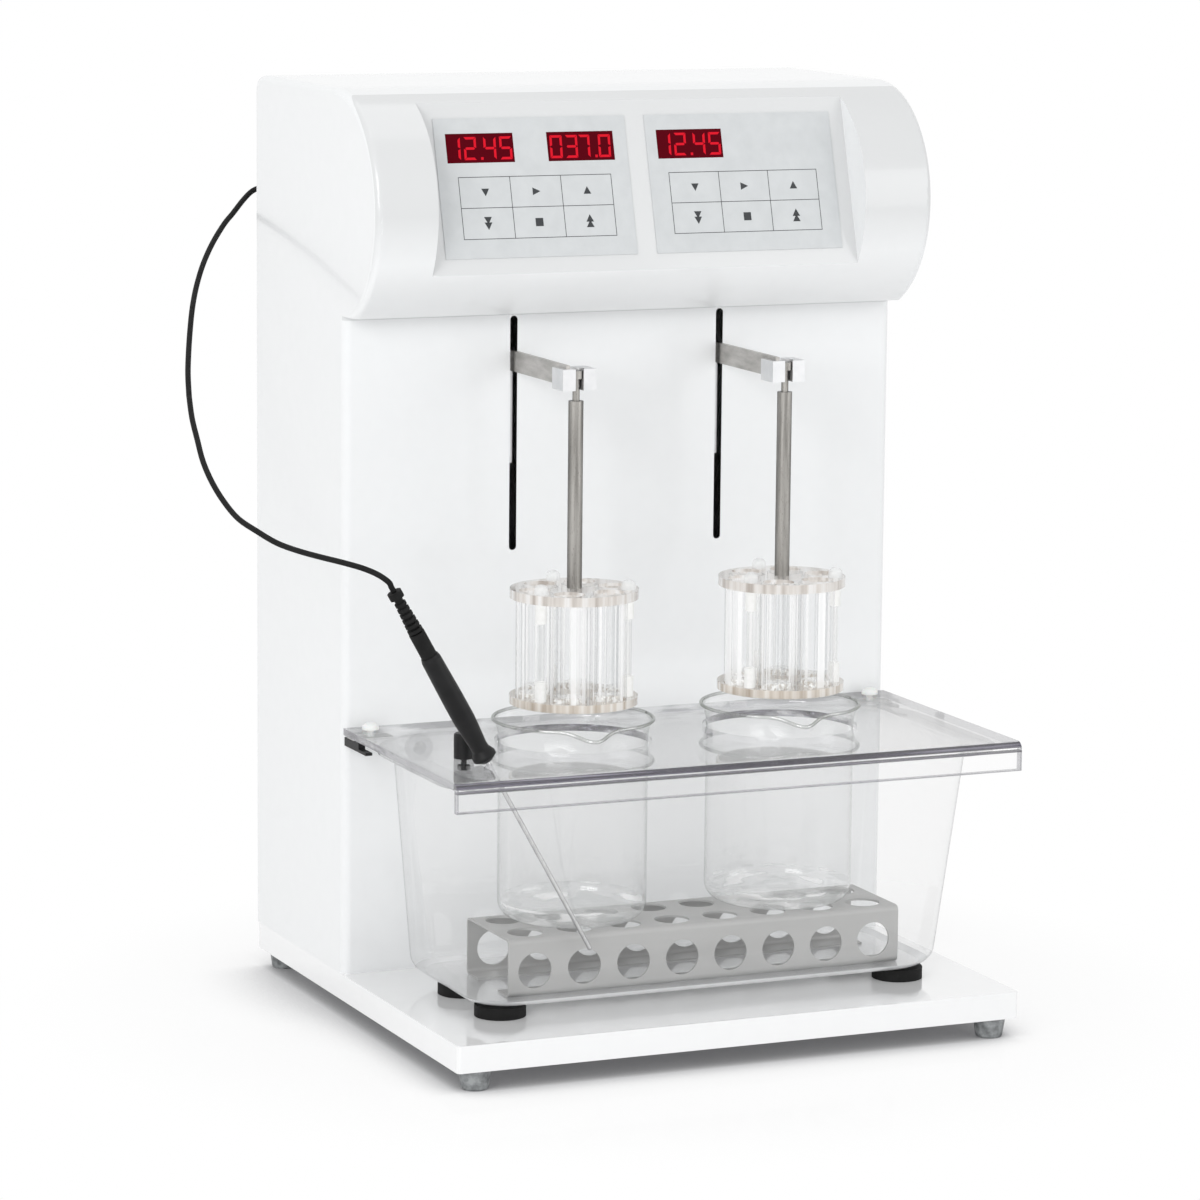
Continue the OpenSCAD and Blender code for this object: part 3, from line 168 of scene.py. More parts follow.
# ------------------------------------------------------------------ materials
class Shader:
    """One material and short ways to add and join its nodes."""

    def __init__(self, name):
        self.mat = bpy.data.materials.new(name)
        self.mat.use_nodes = True
        self.tree = self.mat.node_tree
        self.tree.nodes.clear()
        self.out = self.node("ShaderNodeOutputMaterial")

    def node(self, kind, **values):
        n = self.tree.nodes.new(kind)
        for key, value in values.items():
            if hasattr(n, key):
                setattr(n, key, value)
            else:
                n.inputs[key.replace("_", " ")].default_value = value
        return n

    def join(self, a, b):
        self.tree.links.new(a, b)

    def principled(self, color, **values):
        p = self.node("ShaderNodeBsdfPrincipled")
        p.inputs["Base Color"].default_value = (*color, 1.0)
        for key, value in values.items():
            p.inputs[key.replace("_", " ")].default_value = value
        return p

    def finish(self, shader):
        self.join(shader.outputs[0], self.out.inputs["Surface"])
        return self.mat

    def coords(self, scale):
        tc = self.node("ShaderNodeTexCoord")
        mp = self.node("ShaderNodeMapping")
        mp.inputs["Scale"].default_value = scale
        self.join(tc.outputs["Object"], mp.inputs["Vector"])
        return mp.outputs["Vector"]

    def noise(self, vector, scale, detail=3.0, rough=0.5):
        n = self.node("ShaderNodeTexNoise")
        n.inputs["Scale"].default_value = scale
        n.inputs["Detail"].default_value = detail
        n.inputs["Roughness"].default_value = rough
        self.join(vector, n.inputs["Vector"])
        return n.outputs["Fac"]

    def ramp(self, fac, stops):
        r = self.node("ShaderNodeValToRGB")
        r.color_ramp.elements[0].position = stops[0][0]
        r.color_ramp.elements[1].position = stops[-1][0]
        for p, _ in stops[1:-1]:
            r.color_ramp.elements.new(p)
        for e, (_, c) in zip(r.color_ramp.elements, stops):
            e.color = (*c, 1.0) if hasattr(c, "__len__") else (c, c, c, 1.0)
        self.join(fac, r.inputs["Fac"])
        return r.outputs["Color"]

    def bump(self, height, strength, distance=0.0005):
        b = self.node("ShaderNodeBump")
        b.inputs["Strength"].default_value = strength
        b.inputs["Distance"].default_value = distance
        self.join(height, b.inputs["Height"])
        return b.outputs["Normal"]

    def math(self, operation, a, b=None):
        n = self.node("ShaderNodeMath", operation=operation)
        n.inputs[2].default_value = 0.5
        for socket, value in zip(n.inputs, (a, b)):
            if isinstance(value, (int, float)):
                socket.default_value = value
            elif value is not None:
                self.join(value, socket)
        return n.outputs[0]

    def times(self, a, b):
        return self.math("MULTIPLY", a, b)

    def most(self, a, b):
        return self.math("MAXIMUM", a, b)

    def size_of(self, a):
        return self.math("ABSOLUTE", a)

    def step(self, a, edge, below=False):
        return self.math("LESS_THAN" if below else "GREATER_THAN", a, edge)

    def upright(self):
        """1 on faces that stand upright, 0 on flat ones."""
        tc = self.node("ShaderNodeTexCoord")
        sep = self.node("ShaderNodeSeparateXYZ")
        self.join(tc.outputs["Normal"], sep.inputs[0])
        return self.step(self.size_of(sep.outputs[2]), 0.5, below=True)


def plain(name, low, high, rough=(0.4, 0.5), scale=400.0, bump=0.1, stretch=(1, 1, 1), painted_edge_shade=None,
          **values):
    """Surface whose colour and roughness vary a little, with a fine bump; its edge-shade argument sets how
    dark the painted shade on its sides turned away from the view gets."""
    s = Shader(name)
    v = s.coords(stretch)
    p = s.principled(low, **values)
    color = s.ramp(s.noise(v, scale * 0.1), [(0.3, low), (0.7, high)])
    # painted shade: the sides turned away from the view are darkened, standing in for the dark reflections
    # along a round steel bar
    if painted_edge_shade:
        lw = s.node("ShaderNodeLayerWeight")
        lw.inputs["Blend"].default_value = 0.5
        mix = s.node("ShaderNodeMix", data_type="RGBA", blend_type="MULTIPLY")
        mix.inputs["Factor"].default_value = 1.0
        s.join(color, mix.inputs["A"])
        shade = s.ramp(lw.outputs["Facing"], [(0.15, 1.0), (0.5, 0.5 + painted_edge_shade / 2), (0.85, painted_edge_shade)])
        s.join(shade, mix.inputs["B"])
        color = mix.outputs["Result"]
    s.join(color, p.inputs["Base Color"])
    fine = s.noise(v, scale, 4.0)
    s.join(s.ramp(fine, [(0.3, rough[0]), (0.7, rough[1])]), p.inputs["Roughness"])
    if bump:
        s.join(s.bump(fine, bump), p.inputs["Normal"])
    return s.finish(p)


def clear(name, tint, face, edge, start=0.5, gloss=1.0, rough=0.03, zone=None, shine=0.03):
    """Thin clear wall: see-through where it faces, denser where it turns away, with a mirror sheen.
    face and edge are its density facing and edge on, start is where it begins to thicken; gloss and shine
    are the sheen edge on and facing; zone gives a mask of denser places, their density and their colour,
    and most zones paint reflections, glints and shade into them."""
    s = Shader(name)
    low = tuple(0.88 * c for c in tint)
    p = s.principled(tint, Roughness=0.15, Alpha=0.3)
    v = s.coords((1, 1, 1))
    s.join(s.ramp(s.noise(v, 45.0), [(0.3, low), (0.7, tint)]), p.inputs["Base Color"])
    lw = s.node("ShaderNodeLayerWeight")
    lw.inputs["Blend"].default_value = 0.5
    alpha = s.ramp(lw.outputs["Facing"], [(0.0, face), (start, face * 1.3),
                                          (0.5 + start / 2, 0.4 * edge), (1.0, edge)])
    if zone:
        mask, density, dark = zone(s)
        alpha = s.most(alpha, s.times(mask, density))
        mix = s.node("ShaderNodeMix", data_type="RGBA")
        s.join(mask, mix.inputs["Factor"])
        mix.inputs["A"].default_value = (*tint, 1.0)
        s.join(dark, mix.inputs["B"])
        s.join(mix.outputs["Result"], p.inputs["Base Color"])
    s.join(alpha, p.inputs["Alpha"])
    mirror = s.node("ShaderNodeBsdfGlossy")
    s.join(s.ramp(s.noise(v, 60.0), [(0.3, rough), (0.7, rough * 2.5)]), mirror.inputs["Roughness"])
    grazing = s.math("POWER", lw.outputs["Facing"], 5.0)
    mix = s.node("ShaderNodeMixShader")
    s.join(s.math("ADD", s.times(grazing, 0.75 * gloss), shine), mix.inputs[0])
    s.join(p.outputs[0], mix.inputs[1])
    s.join(mirror.outputs[0], mix.inputs[2])
    s.join(mix.outputs[0], s.out.inputs["Surface"])
    return s.mat


def lid_edges(s):
    """The lid's cut edges and the thick of its front bend, painted dark purple in streaks: painted shade,
    with lighter painted reflections, for how the thick clear acrylic turns the light away there.
    """
    tc = s.node("ShaderNodeTexCoord")
    sep = s.node("ShaderNodeSeparateXYZ")
    s.join(tc.outputs["Object"], sep.inputs[0])
    x, y, z = sep.outputs
    front = s.step(y, -0.1898, below=True)
    bend = s.times(front, s.most(band(s, 2, 0.2076, 0.2112), s.times(band(s, 2, 0.2044, 0.2056), 0.9)))
    back = s.times(s.upright(), s.step(y, -0.078))
    holes = s.times(s.times(s.upright(), s.step(y, -0.1895)), s.step(y, -0.078, below=True))
    ends = s.step(s.size_of(x), 0.2118)
    under = s.step(z, 0.1918, below=True)
    v = s.coords((5, 300, 500))
    # painted shade: patches of dark streaks on the lid's back faces
    shade_streak_noise = s.noise(s.coords((30, 30, 120)), 1.0, 2.0)
    patches = s.ramp(shade_streak_noise, [(0.36, 0.15), (0.5, 0.85), (0.62, 0.95)])
    mask = s.most(s.most(bend, s.times(back, patches)),
                  s.most(s.most(s.times(ends, 0.6), s.times(under, 0.6)), s.times(holes, 0.2)))
    # painted shade and reflection: near-black purple streaks with a few lighter ones
    dark = s.ramp(s.noise(v, 1.0, 4.0), [(0.38, (0.010, 0.008, 0.015)), (0.58, (0.05, 0.044, 0.07)),
                                         (0.76, (0.40, 0.39, 0.46))])
    return mask, 0.92, dark


def streaks(scale, white, dark, density):
    """Upright reflections: white ones where the noise is high, thin dark ones where it is low."""
    def zone(s):
        n = s.noise(s.coords(scale), 1.0, 1.0)
        lines = [(dark - 0.03, 0.5), (dark, 0.0), (white, 0.0), (white + 0.02, 1.0)]
        mask = s.times(s.upright(), s.ramp(n, lines))
        return mask, density, s.ramp(n, [(dark, (0.30, 0.32, 0.33)), (white, (0.98, 0.98, 0.98))])
    return zone


def sparkle(s):
    """White and dark glints of a small clear piece with many holes and notches."""
    n = s.noise(s.coords((1, 1, 1)), 330.0, 2.0)
    mask = s.ramp(n, [(0.34, 0.55), (0.40, 0.0), (0.53, 0.0), (0.57, 1.0)])
    return mask, 0.75, s.ramp(n, [(0.38, (0.30, 0.28, 0.25)), (0.5, (0.96, 0.96, 0.95))])


def thick_base(s):
    """The thick glass round a beaker's bottom, with white and grey reflections."""
    n = s.noise(s.coords((35, 35, 170)), 1.0, 1.0)
    patches = s.ramp(n, [(0.38, 0.4), (0.44, 0.0), (0.56, 0.0), (0.62, 1.0)])
    low = s.times(band(s, 2, RACK_TOP * MM, (RACK_TOP + 13) * MM), patches)
    return low, 0.45, s.ramp(n, [(0.45, (0.38, 0.40, 0.40)), (0.52, (0.97, 0.97, 0.97))])


def tank_floor(s):
    """The thick moulded floor of the tank, which hides what is under it."""
    v = s.coords((40, 40, 40))
    color = s.ramp(s.noise(v, 1.0, 2.0), [(0.3, (0.74, 0.75, 0.76)), (0.7, (0.88, 0.89, 0.90))])
    return band(s, 2, 0.0405, 0.0466), 0.8, color


def band(s, axis, low, high):
    """1 where a coordinate of the piece lies between two values (m)."""
    tc = s.node("ShaderNodeTexCoord")
    sep = s.node("ShaderNodeSeparateXYZ")
    s.join(tc.outputs["Object"], sep.inputs[0])
    c = sep.outputs[axis]
    return s.times(s.step(c, low), s.step(c, high, below=True))


def plate_rim(low, high, tint_and_reflection_stops):
    # the rim keeps the plate's own tint, in upright light and dark streaks that are painted reflections of
    # its facets
    def zone(s):
        v = s.coords((160, 160, 4))
        return s.times(s.upright(), band(s, 2, low, high)), 0.86, s.ramp(s.noise(v, 1.0, 2.0), tint_and_reflection_stops)
    return zone


def rods_and_sleeves():
    """White sleeves at both ends; the thin rod between them is clearer."""
    s = Shader("tie_rod_nylon")
    v = s.coords((1, 1, 1))
    p = s.principled((0.86, 0.86, 0.84), Roughness=0.35)
    white = s.ramp(s.noise(v, 300.0), [(0.3, (0.82, 0.82, 0.80)), (0.7, (0.88, 0.88, 0.87))])
    s.join(white, p.inputs["Base Color"])
    s.join(s.math("SUBTRACT", 1.0, s.times(band(s, 2, 0.2573, 0.2978), 0.88)), p.inputs["Alpha"])
    return s.finish(p)


M = {
    "white": plain("white_enamel", (0.85, 0.86, 0.865), (0.86, 0.868, 0.873), (0.22, 0.26), 900.0, 0.01,
                   Coat_Weight=0.4, Coat_Roughness=0.08),
    "base": plain("white_slab", (0.88, 0.885, 0.89), (0.89, 0.895, 0.90), (0.06, 0.08), 700.0, 0.002,
                  Coat_Weight=1.0, Coat_Roughness=0.02),
    "rack": plain("rack_steel", (0.40, 0.40, 0.395), (0.44, 0.44, 0.435), (0.5, 0.6), 500.0, 0.08,
                  (0.2, 1, 1), Metallic=0.35),
    # rod and steel get painted shade on their sides turned away from the view
    "rod": plain("rod_steel", (0.50, 0.50, 0.505), (0.66, 0.66, 0.665), (0.2, 0.3), 2500.0, 0.1,
                 (1, 1, 0.05), painted_edge_shade=0.25, Metallic=1.0),
    "steel": plain("brushed_steel", (0.24, 0.23, 0.215), (0.46, 0.445, 0.42), (0.25, 0.42), 3200.0, 0.3,
                   (1, 1, 0.05), painted_edge_shade=0.3, Metallic=1.0),
    "flat_steel": plain("rolled_steel", (0.36, 0.35, 0.33), (0.58, 0.56, 0.54), (0.3, 0.45), 1800.0, 0.2,
                        (1, 0.25, 1), Metallic=1.0),
    "sheet": plain("perforated_steel", (0.50, 0.50, 0.49), (0.60, 0.60, 0.59), (0.35, 0.48), 500.0, 0.08,
                   (0.2, 1, 1), Metallic=1.0),
    "alu": plain("satin_aluminium", (0.70, 0.71, 0.72), (0.80, 0.80, 0.81), (0.35, 0.45), 800.0, 0.08,
                 Metallic=1.0),
    "foil": plain("grey_foil", (0.58, 0.60, 0.61), (0.62, 0.64, 0.65), (0.35, 0.42), 900.0, 0.04),
    "print": plain("dark_print", (0.02, 0.023, 0.026), (0.03, 0.034, 0.038), (0.45, 0.5), 600.0, 0.0),
    "window": plain("red_window", (0.085, 0.0005, 0.005), (0.105, 0.001, 0.006), (0.4, 0.46), 50.0, 0.0,
                    Specular_IOR_Level=0.03),
    "black": plain("black_plastic", (0.006, 0.006, 0.0065), (0.012, 0.012, 0.0125), (0.4, 0.5), 900.0, 0.15,
                   Specular_IOR_Level=0.22),
    "rubber": plain("black_rubber", (0.005, 0.005, 0.005), (0.011, 0.011, 0.011), (0.6, 0.75), 900.0, 0.2,
                    Specular_IOR_Level=0.2),
    "grey_rubber": plain("grey_rubber", (0.10, 0.105, 0.11), (0.34, 0.355, 0.36), (0.5, 0.65), 1800.0, 0.4),
    "grey": plain("grey_plastic", (0.32, 0.32, 0.34), (0.38, 0.38, 0.40), (0.4, 0.5), 600.0, 0.1),
    "nylon": plain("white_nylon", (0.82, 0.82, 0.80), (0.87, 0.87, 0.85), (0.3, 0.4), 500.0, 0.05,
                   Subsurface_Weight=0.1),
    "nut": plain("clear_nylon", (0.78, 0.79, 0.79), (0.84, 0.85, 0.85), (0.3, 0.4), 500.0, 0.05, Alpha=0.5),
    "board": plain("green_board", (0.02, 0.12, 0.05), (0.03, 0.16, 0.07), (0.3, 0.4), 300.0, 0.05),
    "dark": plain("dark_metal", (0.06, 0.06, 0.065), (0.09, 0.09, 0.095), (0.4, 0.5), 500.0, 0.1,
                  Metallic=0.6),
    "glass": clear("clear_glass", (0.40, 0.45, 0.43), 0.008, 0.85, 0.72, 1.2, zone=thick_base, shine=0.09),
    "rim": clear("glass_rim", (0.05, 0.075, 0.03), 0.07, 0.98, 0.28, 0.6, shine=0.15),
    "tube": clear("tube_glass", (0.45, 0.47, 0.48), 0.01, 0.75, 0.72, 1.3,
                  zone=streaks((230, 230, 0), 0.575, 0.39, 0.55)),
    "floor": clear("tank_bottom", (0.84, 0.85, 0.86), 0.72, 0.8, 0.5, 1.5, 0.02),
    "tank": clear("clear_tank", (0.24, 0.26, 0.28), 0.007, 0.95, 0.79, 1.1, zone=tank_floor, shine=0.09),
    "tie": rods_and_sleeves(),
    "lid": clear("clear_lid", (0.66, 0.66, 0.70), 0.02, 0.12, 0.5, 1.7, 0.015, zone=lid_edges),
    "disc": clear("disc_plastic", (0.80, 0.77, 0.72), 0.12, 0.5, 0.35, 1.2, 0.05, zone=sparkle),
    "acrylic": clear("basket_acrylic", (0.74, 0.70, 0.66), 0.08, 0.26, 0.5, 1.2, 0.05,
                     zone=plate_rim(0.3, 0.33, [(0.3, (0.42, 0.37, 0.33)), (0.5, (0.70, 0.66, 0.62)),
                                                (0.65, (0.84, 0.83, 0.82))])),
    "tan": clear("tan_acrylic", (0.66, 0.61, 0.55), 0.22, 0.42, 0.5, 1.0, 0.06,
                 zone=plate_rim(0.2, 0.26, [(0.3, (0.40, 0.33, 0.26)), (0.5, (0.62, 0.56, 0.49)),
                                            (0.68, (0.82, 0.80, 0.77))])),
}


def led():
    """Red light of the display digits."""
    s = Shader("led_red")
    p = s.principled((0.25, 0.005, 0.01), Roughness=0.5, Specular_IOR_Level=0.05)
    v = s.coords((1, 1, 1))
    glow = [(0.3, (0.52, 0.004, 0.014)), (0.7, (0.60, 0.006, 0.02))]
    s.join(s.ramp(s.noise(v, 900.0), glow), p.inputs["Emission Color"])
    p.inputs["Emission Strength"].default_value = 0.9
    return s.finish(p)


def white_with_painted_shade():
    """The white enamel, with painted shade that makes it a little greyer where its front leans back on the
    hood, and painted black on the cut edges of the slots, where there is only shade.
    """
    s = Shader("white_enamel_painted_shade")
    v = s.coords((1, 1, 1))
    p = s.principled((0.85, 0.86, 0.865), Coat_Weight=0.4, Coat_Roughness=0.08)
    white = s.ramp(s.noise(v, 90.0), [(0.3, (0.84, 0.852, 0.86)), (0.7, (0.85, 0.862, 0.87))])
    slots = s.most(*(band(s, 0, (x - SLOT_HALF) * MM, (x + SLOT_HALF) * MM) for x in SLOT_X))
    # painted shade: front faces that lean back, between 0.5 and 0.7 m up, are mixed towards grey
    shade = s.node("ShaderNodeMix", data_type="RGBA")
    tc = s.node("ShaderNodeTexCoord")
    way = s.node("ShaderNodeSeparateXYZ")
    s.join(tc.outputs["Normal"], way.inputs[0])
    lean = s.ramp(s.math("MULTIPLY_ADD", way.outputs[2], 0.5), [(0.30, 0.0), (0.50, 1.0)])
    front = s.step(way.outputs[1], -0.3, below=True)
    s.join(s.times(front, s.times(lean, band(s, 2, 0.5, 0.7))), shade.inputs["Factor"])
    s.join(white, shade.inputs["A"])
    shade.inputs["B"].default_value = (0.69, 0.70, 0.705, 1.0)
    white = shade.outputs["Result"]
    # painted shade: the slots' cut edges in the front wall are painted black for the dark inside of the
    # slots
    wall = band(s, 1, SLOT_WALL[0] * MM, SLOT_WALL[1] * MM)
    mask = s.times(s.times(slots, wall), band(s, 2, 0.3, 0.52))
    mix = s.node("ShaderNodeMix", data_type="RGBA")
    s.join(mask, mix.inputs["Factor"])
    s.join(white, mix.inputs["A"])
    mix.inputs["B"].default_value = (0.006, 0.006, 0.006, 1.0)
    s.join(mix.outputs["Result"], p.inputs["Base Color"])
    fine = s.noise(v, 900.0, 4.0)
    s.join(s.ramp(fine, [(0.3, 0.2), (0.7, 0.24)]), p.inputs["Roughness"])
    s.join(s.bump(fine, 0.01), p.inputs["Normal"])
    return s.finish(p)


M["led"] = led()
M["housing"] = white_with_painted_shade()
USE = {
    "base_plate": "base", "rubber_feet": "grey_rubber", "foot_screws": "steel", "housing": "housing",
    "rear_cover": "white", "rear_cover_screws": "steel", "keypad_foils": "foil",
    "display_windows": "window", "control_board": "board", "drive_frame": "alu",
    "guide_rods": "steel", "drive_motors": "dark", "power_supply": "dark",
    "circulation_pump": "dark", "mains_inlet": "black", "switch_case": "black",
    "rocker_switch": "black", "probe_socket": "steel", "tank_port": "grey",
    "lid": "lid", "lid_tabs": "sheet", "lid_screws": "nylon", "lid_brackets": "black",
    "lid_knob": "black", "tank": "tank", "tank_pads": "rubber", "beaker_rack": "rack",
    "probe_handle": "black", "probe_boot": "rubber", "probe_rod": "rod", "probe_plug": "black",
    "probe_cable": "rubber",
}
for side in ("left", "right"):
    for name, key in (("pinion", "steel"), ("carriage", "alu"), ("toothed_rack", "steel"),
                      ("arm", "flat_steel"), ("hook_block", "alu"), ("hanger_rod", "steel"),
                      ("top_plate", "acrylic"), ("bottom_plate", "tan"), ("tubes", "tube"),
                      ("discs", "disc"), ("tie_rods", "tie"), ("dome_nuts", "nut"),
                      ("mesh", "sheet"), ("beaker", "glass")):
        USE[side + "_" + name] = key
for name, ob in nodes.items():
    ob.data.materials.clear()
    ob.data.materials.append(M[USE[name]])
for name, width in (("base_plate", 0.8), ("left_arm", 0.3), ("right_arm", 0.3), ("left_hook_block", 0.4),
                    ("right_hook_block", 0.4), ("lid_brackets", 0.3), ("lid_tabs", 0.25), ("lid", 0.4)):
    mod = nodes[name].modifiers.new("Bevel", "BEVEL")
    mod.width = width * MM
    mod.segments = 2
    mod.limit_method = "ANGLE"
    mod.angle_limit = math.radians(40)

# ------------------------------------------------------------------ the cable, as two lengths
HALF = 15                       # the route point where they meet
for name, points, a, b in (("cable_upper", CABLE[:HALF + 1], "base", "lid"),
                           ("cable_lower", CABLE[HALF:], "lid", "probe")):
    line = [p * MM for p in catmull(points, 4)]
    verts, faces = sweep(line, CABLE_D / 2 * MM, 16)
    ob = link(name, verts, faces, M["rubber"], None, 1.0, True)
    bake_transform(ob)
    if name == "cable_upper":
        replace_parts(ob, "probe_cable")

# ------------------------------------------------------------------ clear shells


def rounded_ring(x0, x1, y0, y1, r_front, r_back, z, n=10):
    """Points round a rectangle with rounded corners, starting at the front right."""
    out = []
    for cx, cy, r, a0 in ((x1 - r_front, y0 + r_front, r_front, -90),
                          (x1 - r_back, y1 - r_back, r_back, 0),
                          (x0 + r_back, y1 - r_back, r_back, 90),
                          (x0 + r_front, y0 + r_front, r_front, 180)):
        for k in range(n + 1):
            a = math.radians(a0 + 90 * k / n)
            out.append((cx + r * math.cos(a), cy + r * math.sin(a), z))
    return out


def loft(name, rings, material, body, low=True, high=True):
    """Skin over rings of equal point count; the first and the last can each be closed off."""
    n = len(rings[0])
    verts = [v for ring in rings for v in ring]
    faces = []
    for i in range(len(rings) - 1):
        for k in range(n):
            faces.append((i * n + k, i * n + (k + 1) % n, (i + 1) * n + (k + 1) % n, (i + 1) * n + k))
    if low:
        faces.append(tuple(range(n - 1, -1, -1)))
    if high:
        last = (len(rings) - 1) * n
        faces.append(tuple(last + k for k in range(n)))
    ob = link(name, verts, faces, material, body, smooth=True)
    mod = ob.modifiers.new("Edges", "EDGE_SPLIT")
    mod.split_angle = math.radians(40)
    return ob


TANK = dict(z0=41.0, z1=206.6, half=192.0, y0=-180.0, y1=8.0, inset=12.0, front=28.0,
            corner=37.0, fillet=14.0)


def tank_ring(z0, grow, z, shrink):
    t = TANK
    s = (z - z0) / (t["z1"] - z0)
    side = t["inset"] * (1 - s) + grow + shrink
    front = t["front"] * (1 - s) + grow + shrink
    r = max(t["corner"] - grow - 0.6 * shrink - 6 * (1 - s), 6)
    return rounded_ring(-t["half"] + side, t["half"] - side, t["y0"] + front, t["y1"] - side, r, r, z)


def tank_rings(z0, grow, top):
    t = TANK
    out = []
    for k in range(0, 11):
        a = math.radians(9 * k)
        z = z0 + t["fillet"] * (1 - math.cos(a))
        out.append(tank_ring(z0, grow, z, t["fillet"] * (1 - math.sin(a))))
    for k in range(1, 5):
        z = z0 + t["fillet"] + (top - z0 - t["fillet"]) * k / 4
        out.append(tank_ring(z0, grow, z, 0))
    return out


outer = tank_rings(41.25, 0.0, 200.6)
flange = [rounded_ring(-192.5, 192.5, -180.5, 8, 37, 37, 202.6),
          rounded_ring(-209.2, 209.2, -189.4, 8, 38, 58, 202.6),
          rounded_ring(-210, 210, -190, 8, 38, 58, 203.2),
          rounded_ring(-210, 210, -190, 8, 38, 58, 206.0),
          rounded_ring(-209.2, 209.2, -189.4, 8, 38, 58, 206.5)]
inner = [rounded_ring(-189.2, 189.2, -176.4, 5, 34, 34, 206.5),
         rounded_ring(-189, 189, -176.2, 5, 34, 34, 203)]
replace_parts(loft("tank_shell", outer + flange + inner, M["tank"], "base", high=False), "tank")
ring = tank_ring(41.25, -3.0, 44.0, 11.0)
link("tank_bottom", ring, [tuple(range(len(ring)))], M["floor"], "base")


def spout(d, r, z, rise):
    """Radius and height of a rim point at an angle d from the front, pulled out into the spout."""
    d += 0.16
    pull = math.exp(-(d / 0.15) ** 2) - 0.24 * math.exp(-((abs(d) - 0.40) / 0.2) ** 2)
    return r + 9.0 * rise * pull, z - 5.2 * rise * math.exp(-(d / 0.24) ** 2)


def beaker(name, cx, body):
    """Blown beaker with a rolled rim and a pinched spout towards the front."""
    h = BEAKER_H
    outer = []
    for k in range(0, 9):
        a = math.radians(90 * k / 8)
        outer.append((40.5 + 12 * math.sin(a), 12 - 12 * math.cos(a)))
    for z in (40, 80, 110, 124):
        outer.append((52.5, z))
    for k in range(1, 7):
        a = math.radians(90 * k / 6)
        outer.append((52.5 + 4.5 * (1 - math.cos(a)), 126 + 14.4 * math.sin(a)))
    rim = [(57.3, h - 1.0), (57.2, h - 0.4), (56.6, h), (55.8, h - 0.1), (55.2, h - 0.7),
           (55.0, h - 1.8), (54.4, h - 3)]
    profile = [(18.0, 0.8), (32.0, 0.2)] + outer + rim
    n = 96
    rings = []
    for r, z in profile:
        ring = []
        rise = min(max((z - 112.0) / 30.0, 0.0), 1.0)
        rise = rise * rise * (3 - 2 * rise)
        for k in range(n):
            t = 2 * math.pi * k / n
            d = (t + math.pi / 2 + math.pi) % (2 * math.pi) - math.pi
            rr, zz = spout(d, r, z, rise)
            ring.append((cx + rr * math.cos(t), BASKET_Y + rr * math.sin(t), RACK_TOP + zz))
        rings.append(ring)
    loop = []
    for k in range(n + 1):
        t = 2 * math.pi * k / n
        d = (t + math.pi / 2 + math.pi) % (2 * math.pi) - math.pi
        rr, zz = spout(d, 56.3, h - 0.7, 1.0)
        loop.append(Vector((cx + rr * math.cos(t), BASKET_Y + rr * math.sin(t), RACK_TOP + zz)))
    verts, faces = sweep(loop, 1.2, 12)
    link(name + "_rim", verts, faces, M["rim"], body, smooth=True)
    return loft(name + "_glass", rings, M["glass"], body, high=False)


for side, cx in zip(("left", "right"), BASKET_X):
    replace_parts(beaker(side + "_beaker", cx, side + "_beaker"), side + "_beaker")
    verts, faces = [], []
    for k in range(6):
        a = math.radians(60 * k)
        px, py = cx + 30 * math.cos(a), BASKET_Y + 30 * math.sin(a)
        n, first = 48, len(verts)
        for r, z in ((11, TUBE_Z[0]), (13, TUBE_Z[0]), (13, TUBE_Z[1]), (11, TUBE_Z[1])):
            verts += [(px + r * math.cos(2 * math.pi * j / n), py + r * math.sin(2 * math.pi * j / n), z)
                      for j in range(n)]
        for i in range(3):
            for j in range(n):
                faces.append((first + i * n + j, first + i * n + (j + 1) % n,
                              first + (i + 1) * n + (j + 1) % n, first + (i + 1) * n + j))
    ob = link(side + "_tube_walls", verts, faces, M["tube"], side + "_basket", smooth=True)
    ob.modifiers.new("Edges", "EDGE_SPLIT").split_angle = math.radians(40)
    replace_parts(ob, side + "_tubes")

# ------------------------------------------------------------------ woven mesh under the baskets


def woven(name, cx, cy, z, radius, pitch, wire, body):
    verts, faces = [], []
    count = int(radius / pitch)
    step = pitch / 2
    for axis in (0, 1):
        for k in range(-count, count + 1):
            off = k * pitch
            reach = math.sqrt(max(radius ** 2 - off ** 2, 0))
            m = int(reach / step)
            if m < 2:
                continue
            pts = []
            for j in range(-m, m + 1):
                t = j * step
                wave = math.cos(math.pi * t / pitch) * (-1) ** k * (1 if axis == 0 else -1)
                h = z + 0.5 * wire * wave
                p = (cx + t, cy + off, h) if axis == 0 else (cx + off, cy + t, h)
                pts.append(Vector(p))
            v, f = sweep(pts, wire / 2, 5)
            base = len(verts)
            verts += v
            faces += [tuple(base + i for i in face) for face in f]
    return link(name, verts, faces, M["sheet"], body, smooth=True)


for side, cx in zip(("left", "right"), BASKET_X):
    wires = woven(side + "_woven_mesh", cx, BASKET_Y, LOW_PLATE + 0.4, 43.0, 2.0, 0.6, side + "_basket")
    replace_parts(wires, side + "_mesh")

# clear pieces let all light through, as thin clear walls do
CLEAR = {M[key] for key in ("nut", "glass", "rim", "tube", "floor", "tank", "lid", "disc",
                            "acrylic", "tan", "tie")}
for ob in bpy.context.scene.objects:
    if ob.type == "MESH" and ob.data.materials and ob.data.materials[0] in CLEAR:
        ob.visible_shadow = False
        ob.visible_diffuse = False

# ------------------------------------------------------------------ displays and keys
SEGMENTS = {"0": "abcdef", "1": "bc", "2": "abged", "3": "abgcd", "4": "fgbc", "5": "afgcd", "7": "abc"}


